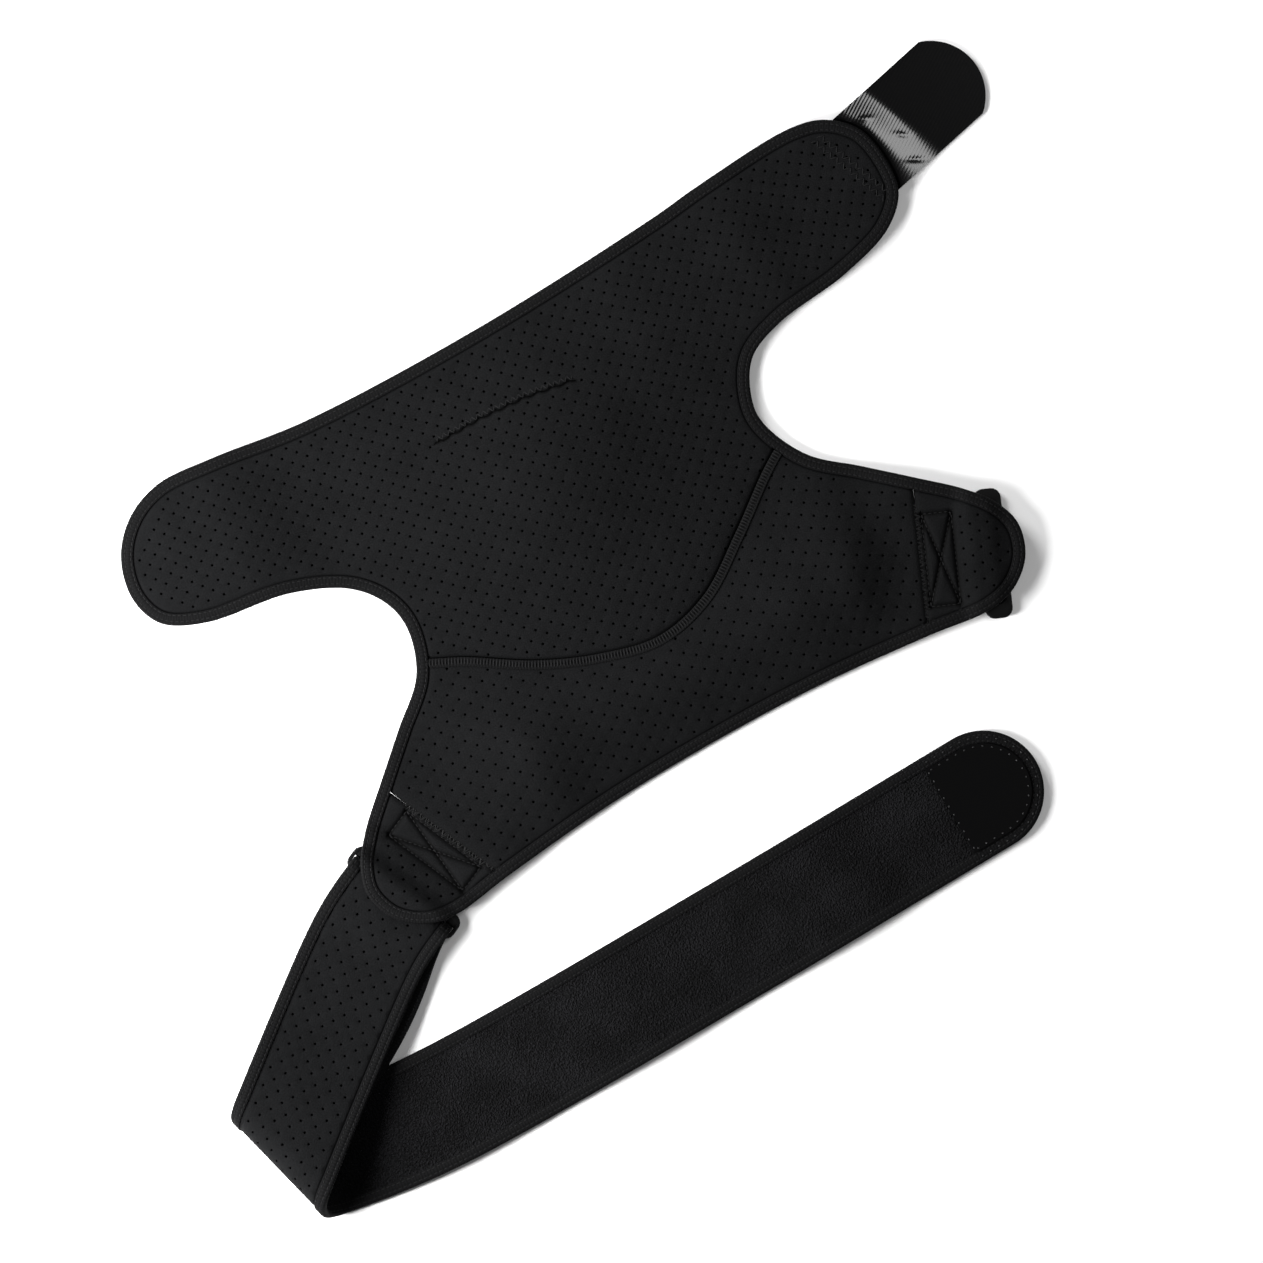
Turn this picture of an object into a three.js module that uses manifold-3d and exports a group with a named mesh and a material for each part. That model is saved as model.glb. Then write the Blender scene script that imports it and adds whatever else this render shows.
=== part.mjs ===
// A shoulder brace of perforated neoprene, lying on a table with its skin side up.
// Millimetres, +Z up. The arm cuff points to +Y, its hook tab to +X, and the chest strap lies on the -Y side.

import * as THREE from 'three';
import { mergeVertices } from 'three/addons/utils/BufferGeometryUtils.js';
import Module from 'manifold-3d';

const wasm = await Module();
wasm.setup();
const { lerp, smoothstep, degToRad } = THREE.MathUtils;

// Cloth and tape
const neoprene = 2.8; // thickness of the panels, the pads and the strap
const tapeWall = 0.6; // binding tape on each face of a cut edge
const tapeLip = 6; // width of the binding, in from the edge
const fit = 0.3; // gap between pieces that touch
const boundEdge = neoprene + 2 * tapeWall;
const clothInset = tapeLip + fit;

// Outline of the cuff and the chest panel, measured from the middle of the brace
const waist = 103; // half width where the two panels meet
const cuffReach = 218; // middle to the tip of a cuff lobe
const cuffRise = 145; // waist to the top edge
const chestReach = 187; // middle to the tip of an end pad
const chestDrop = 114.5; // waist to the bottom edge
const seamDip = 46; // sag of the curved seam between the panels
const crown = 12; // how far the cloth stands up off the table

// Ring, webbing loop and end pad
const pullTurn = 23.5; // way that each ring points, in degrees below the level line
const web = 1.2; // one ply of webbing
const webWidth = 48;
const webTail = 29; // sewn tail of a webbing loop
const ringBar = 3.2; // thickness of a ring, and width of its two long bars
const ringBevel = 0.8;
const ringEnd = 1.8; // width of a ring's two short bars
const ringCorner = 5;
const slotCorner = 1.5;
const ringPlay = 0.3; // room at each edge of the strap in its ring
const slotSlack = 1.3; // free width that is left in a threaded slot
const padLine = 31; // seam between chest panel and pad, in from the ring's inner bar

// Strap
const strapWidth = 61;
const strapRun = 586; // from its ring to its round end
const strapPly = 95; // end that is threaded through the ring and folded back
const plySway = 5.5; // how far the folded end strays to one side
const creaseRun = 132; // from its ring to the start of the fold
const creaseTilt = degToRad(14.2); // way that the fold faces, below the level line
const foldRadius = 11;
const strapWave = 2;
const wavePitch = 110;

// Hook pieces
const endPatchLength = 50;
const endPatchThick = 1.2;
const keeperFrom = 55; // from the ring to the patch that holds the folded end
const keeperLength = 35;
const keeperThick = 1.3;
const tabWidth = 48;
const tabThick = 1.6;
const tabTilt = degToRad(12.5);
const tabHidden = 24; // stretch of the tab that is sewn under the cuff's lobe
const tabShown = 51; // from there to its corners
const tabBulge = 14; // how far its round end stands out past the corners

// Fineness of the facets
const cuffCell = 12;
const chestCell = 11;
const padCell = 5.5;
const edgeStep = 9.5;
const edgeStepAtRing = 5;

// Sizes that follow
const barRound = Math.hypot(ringBar / 2, ringBar / 2 - ringBevel);
const webEye = barRound + fit;
const webEyeOuter = webEye + web;
const strapEye = barRound + fit + boundEdge / 2;
const strapEyeOuter = strapEye + boundEdge / 2;
const ringPitch = webEyeOuter + strapEyeOuter + slotSlack;
const ringLength = strapWidth + 2 * ringPlay + 2 * ringEnd;
const innerBarHeight = webEyeOuter + fit / 3;
const freeBarHeight = barRound + fit / 3;
const threadedBarHeight = strapEyeOuter + fit / 3;
const keeperWidth = strapWidth - 2 * (clothInset + plySway);
const plySpacing = Math.max(boundEdge + 2 * fit, neoprene + keeperThick + 3 * fit);
const tabSeat = 1.9;
const lobeSeat = tabSeat + tabThick / 2 + fit + boundEdge / 2;
const tailSeat = innerBarHeight + web + fit + boundEdge / 2;
const eyeSeat = innerBarHeight + webEyeOuter + 2 * fit + boundEdge / 2;
const threadSeat = threadedBarHeight + strapEyeOuter + fit + boundEdge / 2;

// Outline tables. reach: share of the way from the waist to the tip. up, drop: share of the rise or the drop.
const leftLobe = [
  { reach: 0.01, up: 0.15 },
  { reach: 0.035, up: 0.26 },
  { reach: 0.14, up: 0.365 },
  { reach: 0.38, up: 0.455 },
  { reach: 0.757, up: 0.51 },
  { reach: 0.93, up: 0.586 },
  { reach: 0.983, up: 0.703 },
  { reach: 0.94, up: 0.848 },
  { reach: 0.817, up: 0.955 },
  { reach: 0.643, up: 1.007 },
  { reach: 0.383, up: 0.993 },
  { reach: -0.052, up: 0.945 },
];
const rightLobe = [
  { reach: -0.017, up: 0.166 },
  { reach: 0, up: 0.262 },
  { reach: 0.087, up: 0.372 },
  { reach: 0.26, up: 0.428 },
  { reach: 0.609, up: 0.462 },
  { reach: 0.87, up: 0.524 },
  { reach: 0.991, up: 0.614 },
  { reach: 1.017, up: 0.724 },
  { reach: 0.983, up: 0.869 },
  { reach: 0.87, up: 0.959 },
  { reach: 0.722, up: 0.993 },
  { reach: 0.26, up: 0.979 },
  { reach: 0, up: 0.959 },
];
const topMiddle = { reach: -1, up: 0.928 };
const chestEdge = [
  { reach: 0.107, drop: 0.009 },
  { reach: 0.357, drop: 0.175 },
  { reach: 0.595, drop: 0.332 },
  { reach: 0.821, drop: 0.485 },
  { reach: 0.952, drop: 0.611 },
  { reach: 1, drop: 0.734 },
  { reach: 0.94, drop: 0.873 },
  { reach: 0.786, drop: 0.969 },
  { reach: 0.607, drop: 1 },
  { reach: 0.202, drop: 0.965 },
  { reach: -0.512, drop: 0.917 },
];
const bottomMiddle = { reach: -waist / (chestReach - waist), drop: 0.904 };

// The seam between the panels. across: share of the waist. dip: share of the seam's sag.
const seamRows = [
  { across: -1.45, dip: -0.7 },
  { across: -1.068, dip: -0.109 },
  { across: -0.845, dip: 0.152 },
  { across: -0.553, dip: 0.565 },
  { across: -0.262, dip: 0.848 },
  { across: 0.03, dip: 1 },
  { across: 0.32, dip: 0.859 },
  { across: 0.612, dip: 0.435 },
  { across: 0.874, dip: 0 },
  { across: 1.03, dip: -0.217 },
  { across: 1.45, dip: -0.8 },
];

// Soft swells of the lying cloth. x, wide: share of the cuff's reach. y, deep: share of its rise.
const swells = [
  { name: 'cuff dome', x: 0, wide: 0.28, y: 0.39, deep: 0.38, rise: 1 },
  { name: 'ridge below the seam', x: 0, wide: 0.5, y: -0.46, deep: 0.19, rise: 0.5 },
  { name: 'left lobe', x: -0.8, wide: 0.2, y: 0.74, deep: 0.35, rise: 0.45 },
  { name: 'right lobe', x: 0.6, wide: 0.22, y: 0.72, deep: 0.35, rise: 0.3 },
  { name: 'right chest', x: 0.38, wide: 0.17, y: -0.45, deep: 0.28, rise: 0.5 },
  { name: 'left chest', x: -0.4, wide: 0.17, y: -0.42, deep: 0.28, rise: 0.35 },
];

// Way that the strap heads before it is folded. run: share of its length. turn: degrees below the level line.
const strapCourse = [
  { run: 0, turn: pullTurn },
  { run: 0.06, turn: 35.2 },
  { run: 0.17, turn: 38 },
  { run: 0.315, turn: 38 },
  { run: 0.45, turn: 29.6 },
  { run: 0.72, turn: 27.5 },
  { run: 1, turn: 27.1 },
];

// Rise of the first run. way: share of the way from the ring to the fold. rise: share of its climb.
const strapClimb = [
  { way: 0, rise: 0 },
  { way: 0.12, rise: -0.04 },
  { way: 0.3, rise: -0.08 },
  { way: 0.6, rise: 0.3 },
  { way: 0.85, rise: 0.85 },
  { way: 1, rise: 1 },
];

// Section of a bound edge. inset: in from the edge. height: share of half its thickness.
const tapeSection = [
  { inset: tapeLip, height: 1 },
  { inset: 1, height: 1 },
  { inset: 0, height: 0.35 },
  { inset: 0, height: -0.35 },
  { inset: 1, height: -1 },
  { inset: tapeLip, height: -1 },
];

const colours = {
  neoprene: { color: 0x1f2023, roughness: 0.9, metalness: 0 },
  tape: { color: 0x1a1a1c, roughness: 0.85, metalness: 0 },
  webbing: { color: 0x151517, roughness: 0.8, metalness: 0 },
  plastic: { color: 0x111112, roughness: 0.4, metalness: 0 },
  hooks: { color: 0x19191b, roughness: 0.25, metalness: 0 },
};

const brace = new THREE.Group();

function addMesh(name, geometry, finish, parent = brace) {
  const mesh = new THREE.Mesh(geometry, new THREE.MeshStandardMaterial(colours[finish]));
  mesh.name = name;
  parent.add(mesh);
  return mesh;
}

// Geometry helpers

function bare(geometry) {
  geometry.deleteAttribute('normal');
  geometry.deleteAttribute('uv');
  return mergeVertices(geometry);
}

function volumeOf(geometry) {
  const points = geometry.getAttribute('position');
  const corners = [new THREE.Vector3(), new THREE.Vector3(), new THREE.Vector3()];
  let sum = 0;
  for (let i = 0; i < geometry.index.count; i += 3) {
    corners.forEach((corner, k) => corner.fromBufferAttribute(points, geometry.index.getX(i + k)));
    sum += corners[0].dot(corners[1].clone().cross(corners[2])) / 6;
  }
  return sum;
}

function facingOut(geometry) {
  if (volumeOf(geometry) < 0) {
    const index = geometry.index;
    for (let i = 0; i < index.count; i += 3) {
      const first = index.getX(i);
      index.setX(i, index.getX(i + 1));
      index.setX(i + 1, first);
    }
  }
  return geometry;
}

function toSolid(geometry) {
  const merged = bare(geometry);
  return new wasm.Manifold(new wasm.Mesh({
    numProp: 3,
    vertProperties: new Float32Array(merged.getAttribute('position').array),
    triVerts: new Uint32Array(merged.index.array),
  }));
}

function fromSolid(solid) {
  const mesh = solid.getMesh();
  const geometry = new THREE.BufferGeometry();
  geometry.setAttribute('position', new THREE.BufferAttribute(new Float32Array(mesh.vertProperties), 3));
  geometry.setIndex(new THREE.BufferAttribute(new Uint32Array(mesh.triVerts), 1));
  return geometry;
}

// A box whose long, wide and thick ways are bent to place(along 0..1, across -1..1, face -1 or 1)
function bentBox(alongCount, acrossCount, place) {
  const geometry = new THREE.BoxGeometry(1, 1, 1, alongCount, acrossCount, 1);
  const points = geometry.getAttribute('position');
  for (let i = 0; i < points.count; i += 1) {
    const spot = place(points.getX(i) + 0.5, 2 * points.getY(i), Math.sign(points.getZ(i)));
    points.setXYZ(i, spot.x, spot.y, spot.z);
  }
  return facingOut(bare(geometry));
}

// Smooth curve through rows, level at both ends
function through(rows, key, value, at) {
  const last = rows.length - 1;
  if (at <= rows[0][key]) return rows[0][value];
  if (at >= rows[last][key]) return rows[last][value];
  const next = rows.findIndex((row) => row[key] > at);
  const slope = (k) => (k === 0 || k === last ? 0
    : (rows[k + 1][value] - rows[k - 1][value]) / (rows[k + 1][key] - rows[k - 1][key]));
  const width = rows[next][key] - rows[next - 1][key];
  const t = (at - rows[next - 1][key]) / width;
  const rise = rows[next][value] - rows[next - 1][value];
  const bend = t * (1 - t);
  return rows[next - 1][value] + rise * t * t * (3 - 2 * t)
    + width * bend * (slope(next - 1) * (1 - t) - slope(next) * t);
}

// Ends of the chest panel

function chestEnd(side, barHeight, seats, anchorShare) {
  const angle = degToRad(pullTurn);
  const pull = new THREE.Vector2(side * Math.cos(angle), -Math.sin(angle));
  const across = new THREE.Vector2(-pull.y, pull.x);
  const anchor = new THREE.Vector2(
    side * lerp(waist, chestReach, anchorShare.reach),
    -chestDrop * anchorShare.drop,
  );
  const tilt = Math.asin((barHeight - innerBarHeight) / ringPitch);
  return { side, pull, across, anchor, tilt, seats };
}

// Height of each pad over what lies below it. out: from the ring's inner bar, the way that it points.
const rightEnd = chestEnd(1, freeBarHeight, [
  { out: -4 * webEyeOuter, height: tailSeat },
  { out: -webEyeOuter, height: eyeSeat },
  { out: webEyeOuter, height: eyeSeat },
  { out: ringPitch + webEyeOuter, height: tailSeat },
], { reach: 0.724, drop: 0.774 });
const leftEnd = chestEnd(-1, threadedBarHeight, [
  { out: -5 * webEyeOuter, height: tailSeat },
  { out: -1.5 * webEyeOuter, height: eyeSeat },
  { out: ringPitch - strapEyeOuter, height: threadSeat },
], { reach: 0.754, drop: 0.786 });
const ends = [rightEnd, leftEnd];
const riseRun = 38; // stretch of the chest panel that climbs to its pad
const riseSide = 40;
const riseFade = 50;

function endPlace(end, x, y) {
  const away = new THREE.Vector2(x, y).sub(end.anchor);
  return { out: away.dot(end.pull), side: away.dot(end.across) };
}

function eased(rows, at) {
  if (at <= rows[0].out) return rows[0].height;
  for (let k = 1; k < rows.length; k += 1) {
    if (at < rows[k].out) {
      return lerp(rows[k - 1].height, rows[k].height, smoothstep(at, rows[k - 1].out, rows[k].out));
    }
  }
  return rows[rows.length - 1].height;
}

// Middle of the cloth's thickness at a place on the two panels
function lift(x, y) {
  let height = boundEdge / 2;
  for (const swell of swells) {
    const acrossShare = (x / cuffReach - swell.x) / swell.wide;
    const upShare = (y / cuffRise - swell.y) / swell.deep;
    height += crown * swell.rise * Math.exp(-acrossShare * acrossShare - upShare * upShare);
  }
  for (const end of ends) {
    const place = endPlace(end, x, y);
    const climb = smoothstep(place.out, -padLine - riseRun, -padLine);
    const beside = 1 - smoothstep(Math.abs(place.side), riseSide, riseSide + riseFade);
    height = lerp(height, eased(end.seats, place.out), climb * beside);
  }
  const overTab = smoothstep(x, 0.6 * cuffReach, 0.86 * cuffReach) * smoothstep(y, 0.1 * cuffRise, 0.35 * cuffRise);
  return lerp(height, lobeSeat, overTab);
}

// Outline of the two panels, walked anticlockwise

function lobePoint(side, row) {
  return new THREE.Vector3(side * lerp(waist, cuffReach, row.reach), cuffRise * row.up, 0);
}

function chestPoint(side, row) {
  return new THREE.Vector3(side * lerp(waist, chestReach, row.reach), -chestDrop * row.drop, 0);
}

const middleTop = new THREE.Vector3(0, cuffRise * topMiddle.up, 0);
const outline = new THREE.CatmullRomCurve3([
  chestPoint(1, bottomMiddle),
  ...chestEdge.map((row) => chestPoint(1, row)).reverse(),
  ...rightLobe.map((row) => lobePoint(1, row)),
  middleTop,
  ...leftLobe.map((row) => lobePoint(-1, row)).reverse(),
  ...chestEdge.map((row) => chestPoint(-1, row)),
], true);
outline.arcLengthDivisions = 2000;

function nearRing(point) {
  return ends.some((end) => {
    const place = endPlace(end, point.x, point.y);
    return place.out > -2 * webEyeOuter && Math.abs(place.side) < riseSide;
  });
}

function walkOutline() {
  const length = outline.getLength();
  const stations = [];
  let along = 0;
  while (along < length - edgeStepAtRing) {
    const point = outline.getPointAt(along / length);
    const tangent = outline.getTangentAt(along / length);
    stations.push({ point, inward: new THREE.Vector3(-tangent.y, tangent.x, 0) });
    along += nearRing(point) ? edgeStepAtRing : edgeStep;
  }
  return stations;
}

const outlineStations = walkOutline();

function insetPoints(inset) {
  return outlineStations.map((station) => station.point.clone().addScaledVector(station.inward, inset));
}

// Cutters and cloth

const cutterDepth = 100;
const far = 2 * cuffReach;

function prism(points) {
  const shape = new THREE.Shape(points.map((point) => new THREE.Vector2(point.x, point.y)));
  const geometry = new THREE.ExtrudeGeometry(shape, { depth: cutterDepth, bevelEnabled: false });
  geometry.translate(0, 0, -cutterDepth / 2);
  return toSolid(geometry);
}

const clothPrism = prism(insetPoints(clothInset));
const seamLine = new THREE.CatmullRomCurve3(
  seamRows.map((row) => new THREE.Vector3(row.across * waist, -row.dip * seamDip, 0)),
).getPoints(36);

function seamSide(way) {
  const shifted = seamLine.map((point) => new THREE.Vector3(point.x, point.y + (way * fit) / 2, 0));
  const corner = (side, y) => new THREE.Vector3(side * far, y, 0);
  const [leftEndY, rightEndY] = [shifted[0].y, shifted[shifted.length - 1].y];
  return prism([corner(-1, leftEndY), ...shifted, corner(1, rightEndY), corner(1, way * far), corner(-1, way * far)]);
}

function padSide(end, shift) {
  const corner = (out, side) => {
    const place = end.anchor.clone().addScaledVector(end.pull, out).addScaledVector(end.across, side);
    return new THREE.Vector3(place.x, place.y, 0);
  };
  const near = -padLine + shift;
  const half = riseSide + riseFade;
  return prism([corner(near, -half), corner(cuffReach, -half), corner(cuffReach, half), corner(near, half)]);
}

function clothSlab(left, right, bottom, top, cell) {
  const across = Math.round((right - left) / cell);
  const up = Math.round((top - bottom) / cell);
  return toSolid(bentBox(across, up, (along, side, face) => {
    const x = lerp(left, right, along);
    const y = lerp(bottom, top, (side + 1) / 2);
    return new THREE.Vector3(x, y, lift(x, y) + (face * neoprene) / 2);
  }));
}

function padSlab(end) {
  const reach = padLine + 0.45 * chestReach / 2;
  const alongCount = Math.round(reach / padCell);
  return toSolid(bentBox(alongCount, 6, (along, side, face) => {
    const place = end.anchor.clone()
      .addScaledVector(end.pull, along * reach - padLine)
      .addScaledVector(end.across, side * riseSide);
    return new THREE.Vector3(place.x, place.y, lift(place.x, place.y) + (face * neoprene) / 2);
  }));
}

const margin = cuffCell;
const cuffCloth = clothSlab(-cuffReach - margin, cuffReach + margin, -seamDip - margin, cuffRise + margin, cuffCell)
  .intersect(clothPrism)
  .intersect(seamSide(1));
addMesh('cuff_panel', fromSolid(cuffCloth), 'neoprene');

const chestPrism = clothPrism.intersect(seamSide(-1));
let chestCloth = clothSlab(-chestReach - margin, chestReach + margin, -chestDrop - margin, margin, chestCell)
  .intersect(chestPrism);
for (const end of ends) chestCloth = chestCloth.subtract(padSide(end, -fit / 2));
addMesh('chest_panel', fromSolid(chestCloth), 'neoprene');

for (const end of ends) {
  const padCloth = padSlab(end).intersect(chestPrism).intersect(padSide(end, fit / 2));
  addMesh(end.side > 0 ? 'end_pad_right' : 'end_pad_left', fromSolid(padCloth), 'neoprene');
}

// Binding round both panels
function edgeBinding() {
  const count = outlineStations.length;
  const geometry = new THREE.TorusGeometry(1, 0.5, tapeSection.length, count);
  const points = geometry.getAttribute('position');
  const share = geometry.getAttribute('uv');
  for (let i = 0; i < points.count; i += 1) {
    const station = outlineStations[Math.round(share.getX(i) * count) % count];
    const section = tapeSection[Math.round(share.getY(i) * tapeSection.length) % tapeSection.length];
    const spot = station.point.clone().addScaledVector(station.inward, section.inset);
    points.setXYZ(i, spot.x, spot.y, lift(spot.x, spot.y) + (section.height * boundEdge) / 2);
  }
  return facingOut(bare(geometry));
}

addMesh('edge_binding', edgeBinding(), 'tape');

// Rings and webbing loops

function roundedRect(left, right, bottom, top, radius, PathType) {
  const path = new PathType();
  path.moveTo(left + radius, bottom);
  path.lineTo(right - radius, bottom);
  path.absarc(right - radius, bottom + radius, radius, -Math.PI / 2, 0);
  path.lineTo(right, top - radius);
  path.absarc(right - radius, top - radius, radius, 0, Math.PI / 2);
  path.lineTo(left + radius, top);
  path.absarc(left + radius, top - radius, radius, Math.PI / 2, Math.PI);
  path.lineTo(left, bottom + radius);
  path.absarc(left + radius, bottom + radius, radius, Math.PI, 1.5 * Math.PI);
  return path;
}

function ringGeometry() {
  const half = ringLength / 2;
  const shape = roundedRect(-ringBar / 2, ringPitch + ringBar / 2, -half, half, ringCorner, THREE.Shape);
  shape.holes.push(roundedRect(
    ringBar / 2, ringPitch - ringBar / 2, -half + ringEnd, half - ringEnd, slotCorner, THREE.Path,
  ));
  const geometry = new THREE.ExtrudeGeometry(shape, {
    depth: ringBar - 2 * ringBevel,
    bevelThickness: ringBevel,
    bevelSize: ringBevel,
    bevelOffset: -ringBevel,
    bevelSegments: 1,
    curveSegments: 3,
  });
  geometry.translate(0, 0, ringBevel - ringBar / 2);
  return facingOut(bare(geometry));
}

function loopGeometry() {
  const joint = Math.asin(web / webEyeOuter);
  const shape = new THREE.Shape();
  shape.moveTo(-webTail, -web);
  shape.absarc(0, 0, webEyeOuter, Math.PI + joint, 3 * Math.PI - joint);
  shape.lineTo(-webTail, web);
  shape.closePath();
  shape.holes.push(new THREE.Path().absarc(0, 0, webEye / Math.cos(Math.PI / 12), 0, 2 * Math.PI));
  const geometry = new THREE.ExtrudeGeometry(shape, { depth: webWidth, bevelEnabled: false, curveSegments: 6 });
  geometry.translate(0, 0, -webWidth / 2);
  return facingOut(bare(geometry));
}

for (const end of ends) {
  const word = end.side > 0 ? 'right' : 'left';
  const seat = new THREE.Group();
  seat.position.set(end.anchor.x, end.anchor.y, innerBarHeight);
  seat.rotation.z = Math.atan2(end.pull.y, end.pull.x);
  const loop = addMesh(`ring_loop_${word}`, loopGeometry(), 'webbing', seat);
  loop.rotation.x = Math.PI / 2;
  const ring = addMesh(`ring_${word}`, ringGeometry(), 'plastic', seat);
  ring.rotation.y = -end.tilt;
  brace.add(seat);
}

// Strap: its course in the flat, its one fold and its end threaded through the left ring

const threadPoint = leftEnd.anchor.clone().addScaledVector(leftEnd.pull, ringPitch * Math.cos(leftEnd.tilt));

function headingAt(run) {
  return degToRad(through(strapCourse, 'run', 'turn', run / strapRun));
}

function headingWay(turn) {
  return new THREE.Vector2(-Math.cos(turn), -Math.sin(turn));
}

function acrossWay(turn) {
  return new THREE.Vector2(Math.sin(turn), -Math.cos(turn));
}

const courseStep = 1;
const course = [threadPoint.clone()];
for (let run = 0; run < strapRun + strapWidth; run += courseStep) {
  course.push(course[course.length - 1].clone()
    .addScaledVector(headingWay(headingAt(run + courseStep / 2)), courseStep));
}

function coursePoint(run) {
  const before = Math.floor(run / courseStep);
  return course[before].clone().lerp(course[before + 1], run / courseStep - before);
}

const creaseWay = headingWay(creaseTilt);
const creaseHeading = headingAt(creaseRun);
const creaseAlong = headingWay(creaseHeading).dot(creaseWay);
const creaseSkew = -acrossWay(creaseHeading).dot(creaseWay) / creaseAlong;
const creasePoint = coursePoint(creaseRun);
const foldLength = (Math.PI * foldRadius) / creaseAlong;
const strapFloor = boundEdge / 2;
const barTop = threadedBarHeight + strapEye;
const foldTop = strapFloor + 2 * foldRadius;

// Middle of the strap's thickness, at a run from its ring and a side step from its middle line
function laidStrap(run, side) {
  const plan = coursePoint(run).addScaledVector(acrossWay(headingAt(run)), side);
  const past = plan.clone().sub(creasePoint).dot(creaseWay);
  if (past <= 0) {
    const climb = through(strapClimb, 'way', 'rise', run / (run - past));
    return new THREE.Vector3(plan.x, plan.y, lerp(barTop, foldTop, climb));
  }
  const turn = Math.min(past / foldRadius, Math.PI);
  const back = Math.max(past - Math.PI * foldRadius, 0);
  plan.addScaledVector(creaseWay, foldRadius * Math.sin(turn) - past - back);
  const calm = 1 - smoothstep(run, strapRun - wavePitch, strapRun - 1.3 * endPatchLength);
  const wave = (strapWave * calm * (1 - Math.cos((2 * Math.PI * back) / wavePitch))) / 2;
  return new THREE.Vector3(plan.x, plan.y, strapFloor + foldRadius * (1 + Math.cos(turn)) + wave);
}

function strapMiddle(run, side) {
  if (run >= 0) return laidStrap(run, side);
  const turn = -run / strapEye;
  const slotWay = headingWay(headingAt(0)).negate();
  if (turn < Math.PI) {
    const plan = threadPoint.clone()
      .addScaledVector(acrossWay(headingAt(0)), side)
      .addScaledVector(slotWay, strapEye * Math.sin(turn));
    return new THREE.Vector3(plan.x, plan.y, threadedBarHeight + strapEye * Math.cos(turn));
  }
  const ply = -run - Math.PI * strapEye;
  const sway = plySway * Math.sin((Math.PI * Math.min(ply, strapPly)) / strapPly);
  const spot = laidStrap(ply, side + sway);
  spot.z -= lerp(2 * strapEye, plySpacing, smoothstep(ply, 0, 4 * strapEyeOuter));
  return spot;
}

function strapSpot(run, side, height) {
  const nudge = 0.2;
  const forward = strapMiddle(run + nudge, side).sub(strapMiddle(run - nudge, side));
  const sideways = strapMiddle(run, side + nudge).sub(strapMiddle(run, side - nudge));
  const normal = forward.cross(sideways).normalize();
  return strapMiddle(run, side).addScaledVector(normal, height);
}

// Stretches of the strap between the places where its bend changes
const roundFrom = strapRun - strapWidth / 2;
const strapPlyEnd = -Math.PI * strapEye - strapPly;
const stretches = [
  { from: strapPlyEnd, to: -Math.PI * strapEye, steps: 9 },
  { from: -Math.PI * strapEye, to: 0, steps: 8 },
  { from: 0, to: creaseRun, steps: 11 },
  { from: creaseRun, to: creaseRun + foldLength, steps: 12 },
  { from: creaseRun + foldLength, to: roundFrom, steps: 32 },
];
const strapRuns = [strapPlyEnd];
for (const stretch of stretches) {
  for (let k = 1; k <= stretch.steps; k += 1) {
    strapRuns.push(lerp(stretch.from, stretch.to, k / stretch.steps));
  }
}

// The facets turn to lie along the fold
function skewAt(run) {
  const foldEnd = creaseRun + foldLength;
  return creaseSkew * smoothstep(run, 0.15 * creaseRun, 0.9 * creaseRun)
    * (1 - smoothstep(run, foldEnd + foldRadius, foldEnd + creaseRun));
}

// A place on a sheet with a round end. way: 0..1 past the start of the round. side: -1..1.
function roundPlace(way, side, radius) {
  const endAngle = degToRad(50);
  const sideAngle = lerp(Math.PI / 2, endAngle, way);
  const chordRun = way * radius * Math.cos(endAngle);
  const chordSide = lerp(radius, radius * Math.sin(endAngle), way);
  const run = way * radius * Math.cos(endAngle * side) + Math.abs(side) * (radius * Math.cos(sideAngle) - chordRun);
  const across = lerp(side * radius, radius * Math.sin(endAngle * side), way)
    + side * (radius * Math.sin(sideAngle) - chordSide);
  return { run: roundFrom + run, side: across };
}

const roundSteps = 4;

function strapSheet({ runs, rounded, half, height, thick, columns }) {
  const count = runs.length - 1 + (rounded ? roundSteps : 0);
  return bentBox(count, columns, (along, side, face) => {
    const k = Math.round(along * count);
    if (k < runs.length) {
      const step = side * half;
      return strapSpot(runs[k] + step * skewAt(runs[k]), step, height + (face * thick) / 2);
    }
    const place = roundPlace((k - runs.length + 1) / roundSteps, side, half);
    return strapSpot(place.run, place.side, height + (face * thick) / 2);
  });
}

addMesh('strap', strapSheet({
  runs: strapRuns,
  rounded: true,
  half: strapWidth / 2 - clothInset,
  height: 0,
  thick: neoprene,
  columns: 4,
}), 'neoprene');

addMesh('strap_hook_patch', strapSheet({
  runs: [strapRun - endPatchLength, roundFrom],
  rounded: true,
  half: strapWidth / 2 - clothInset,
  height: -neoprene / 2 - fit - endPatchThick / 2,
  thick: endPatchThick,
  columns: 4,
}), 'hooks');

addMesh('strap_keeper_patch', strapSheet({
  runs: [0, 1, 2, 3, 4].map((k) => keeperFrom + (k / 4) * keeperLength),
  rounded: false,
  half: keeperWidth / 2,
  height: -plySpacing / 2,
  thick: keeperThick,
  columns: 2,
}), 'hooks');

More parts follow.
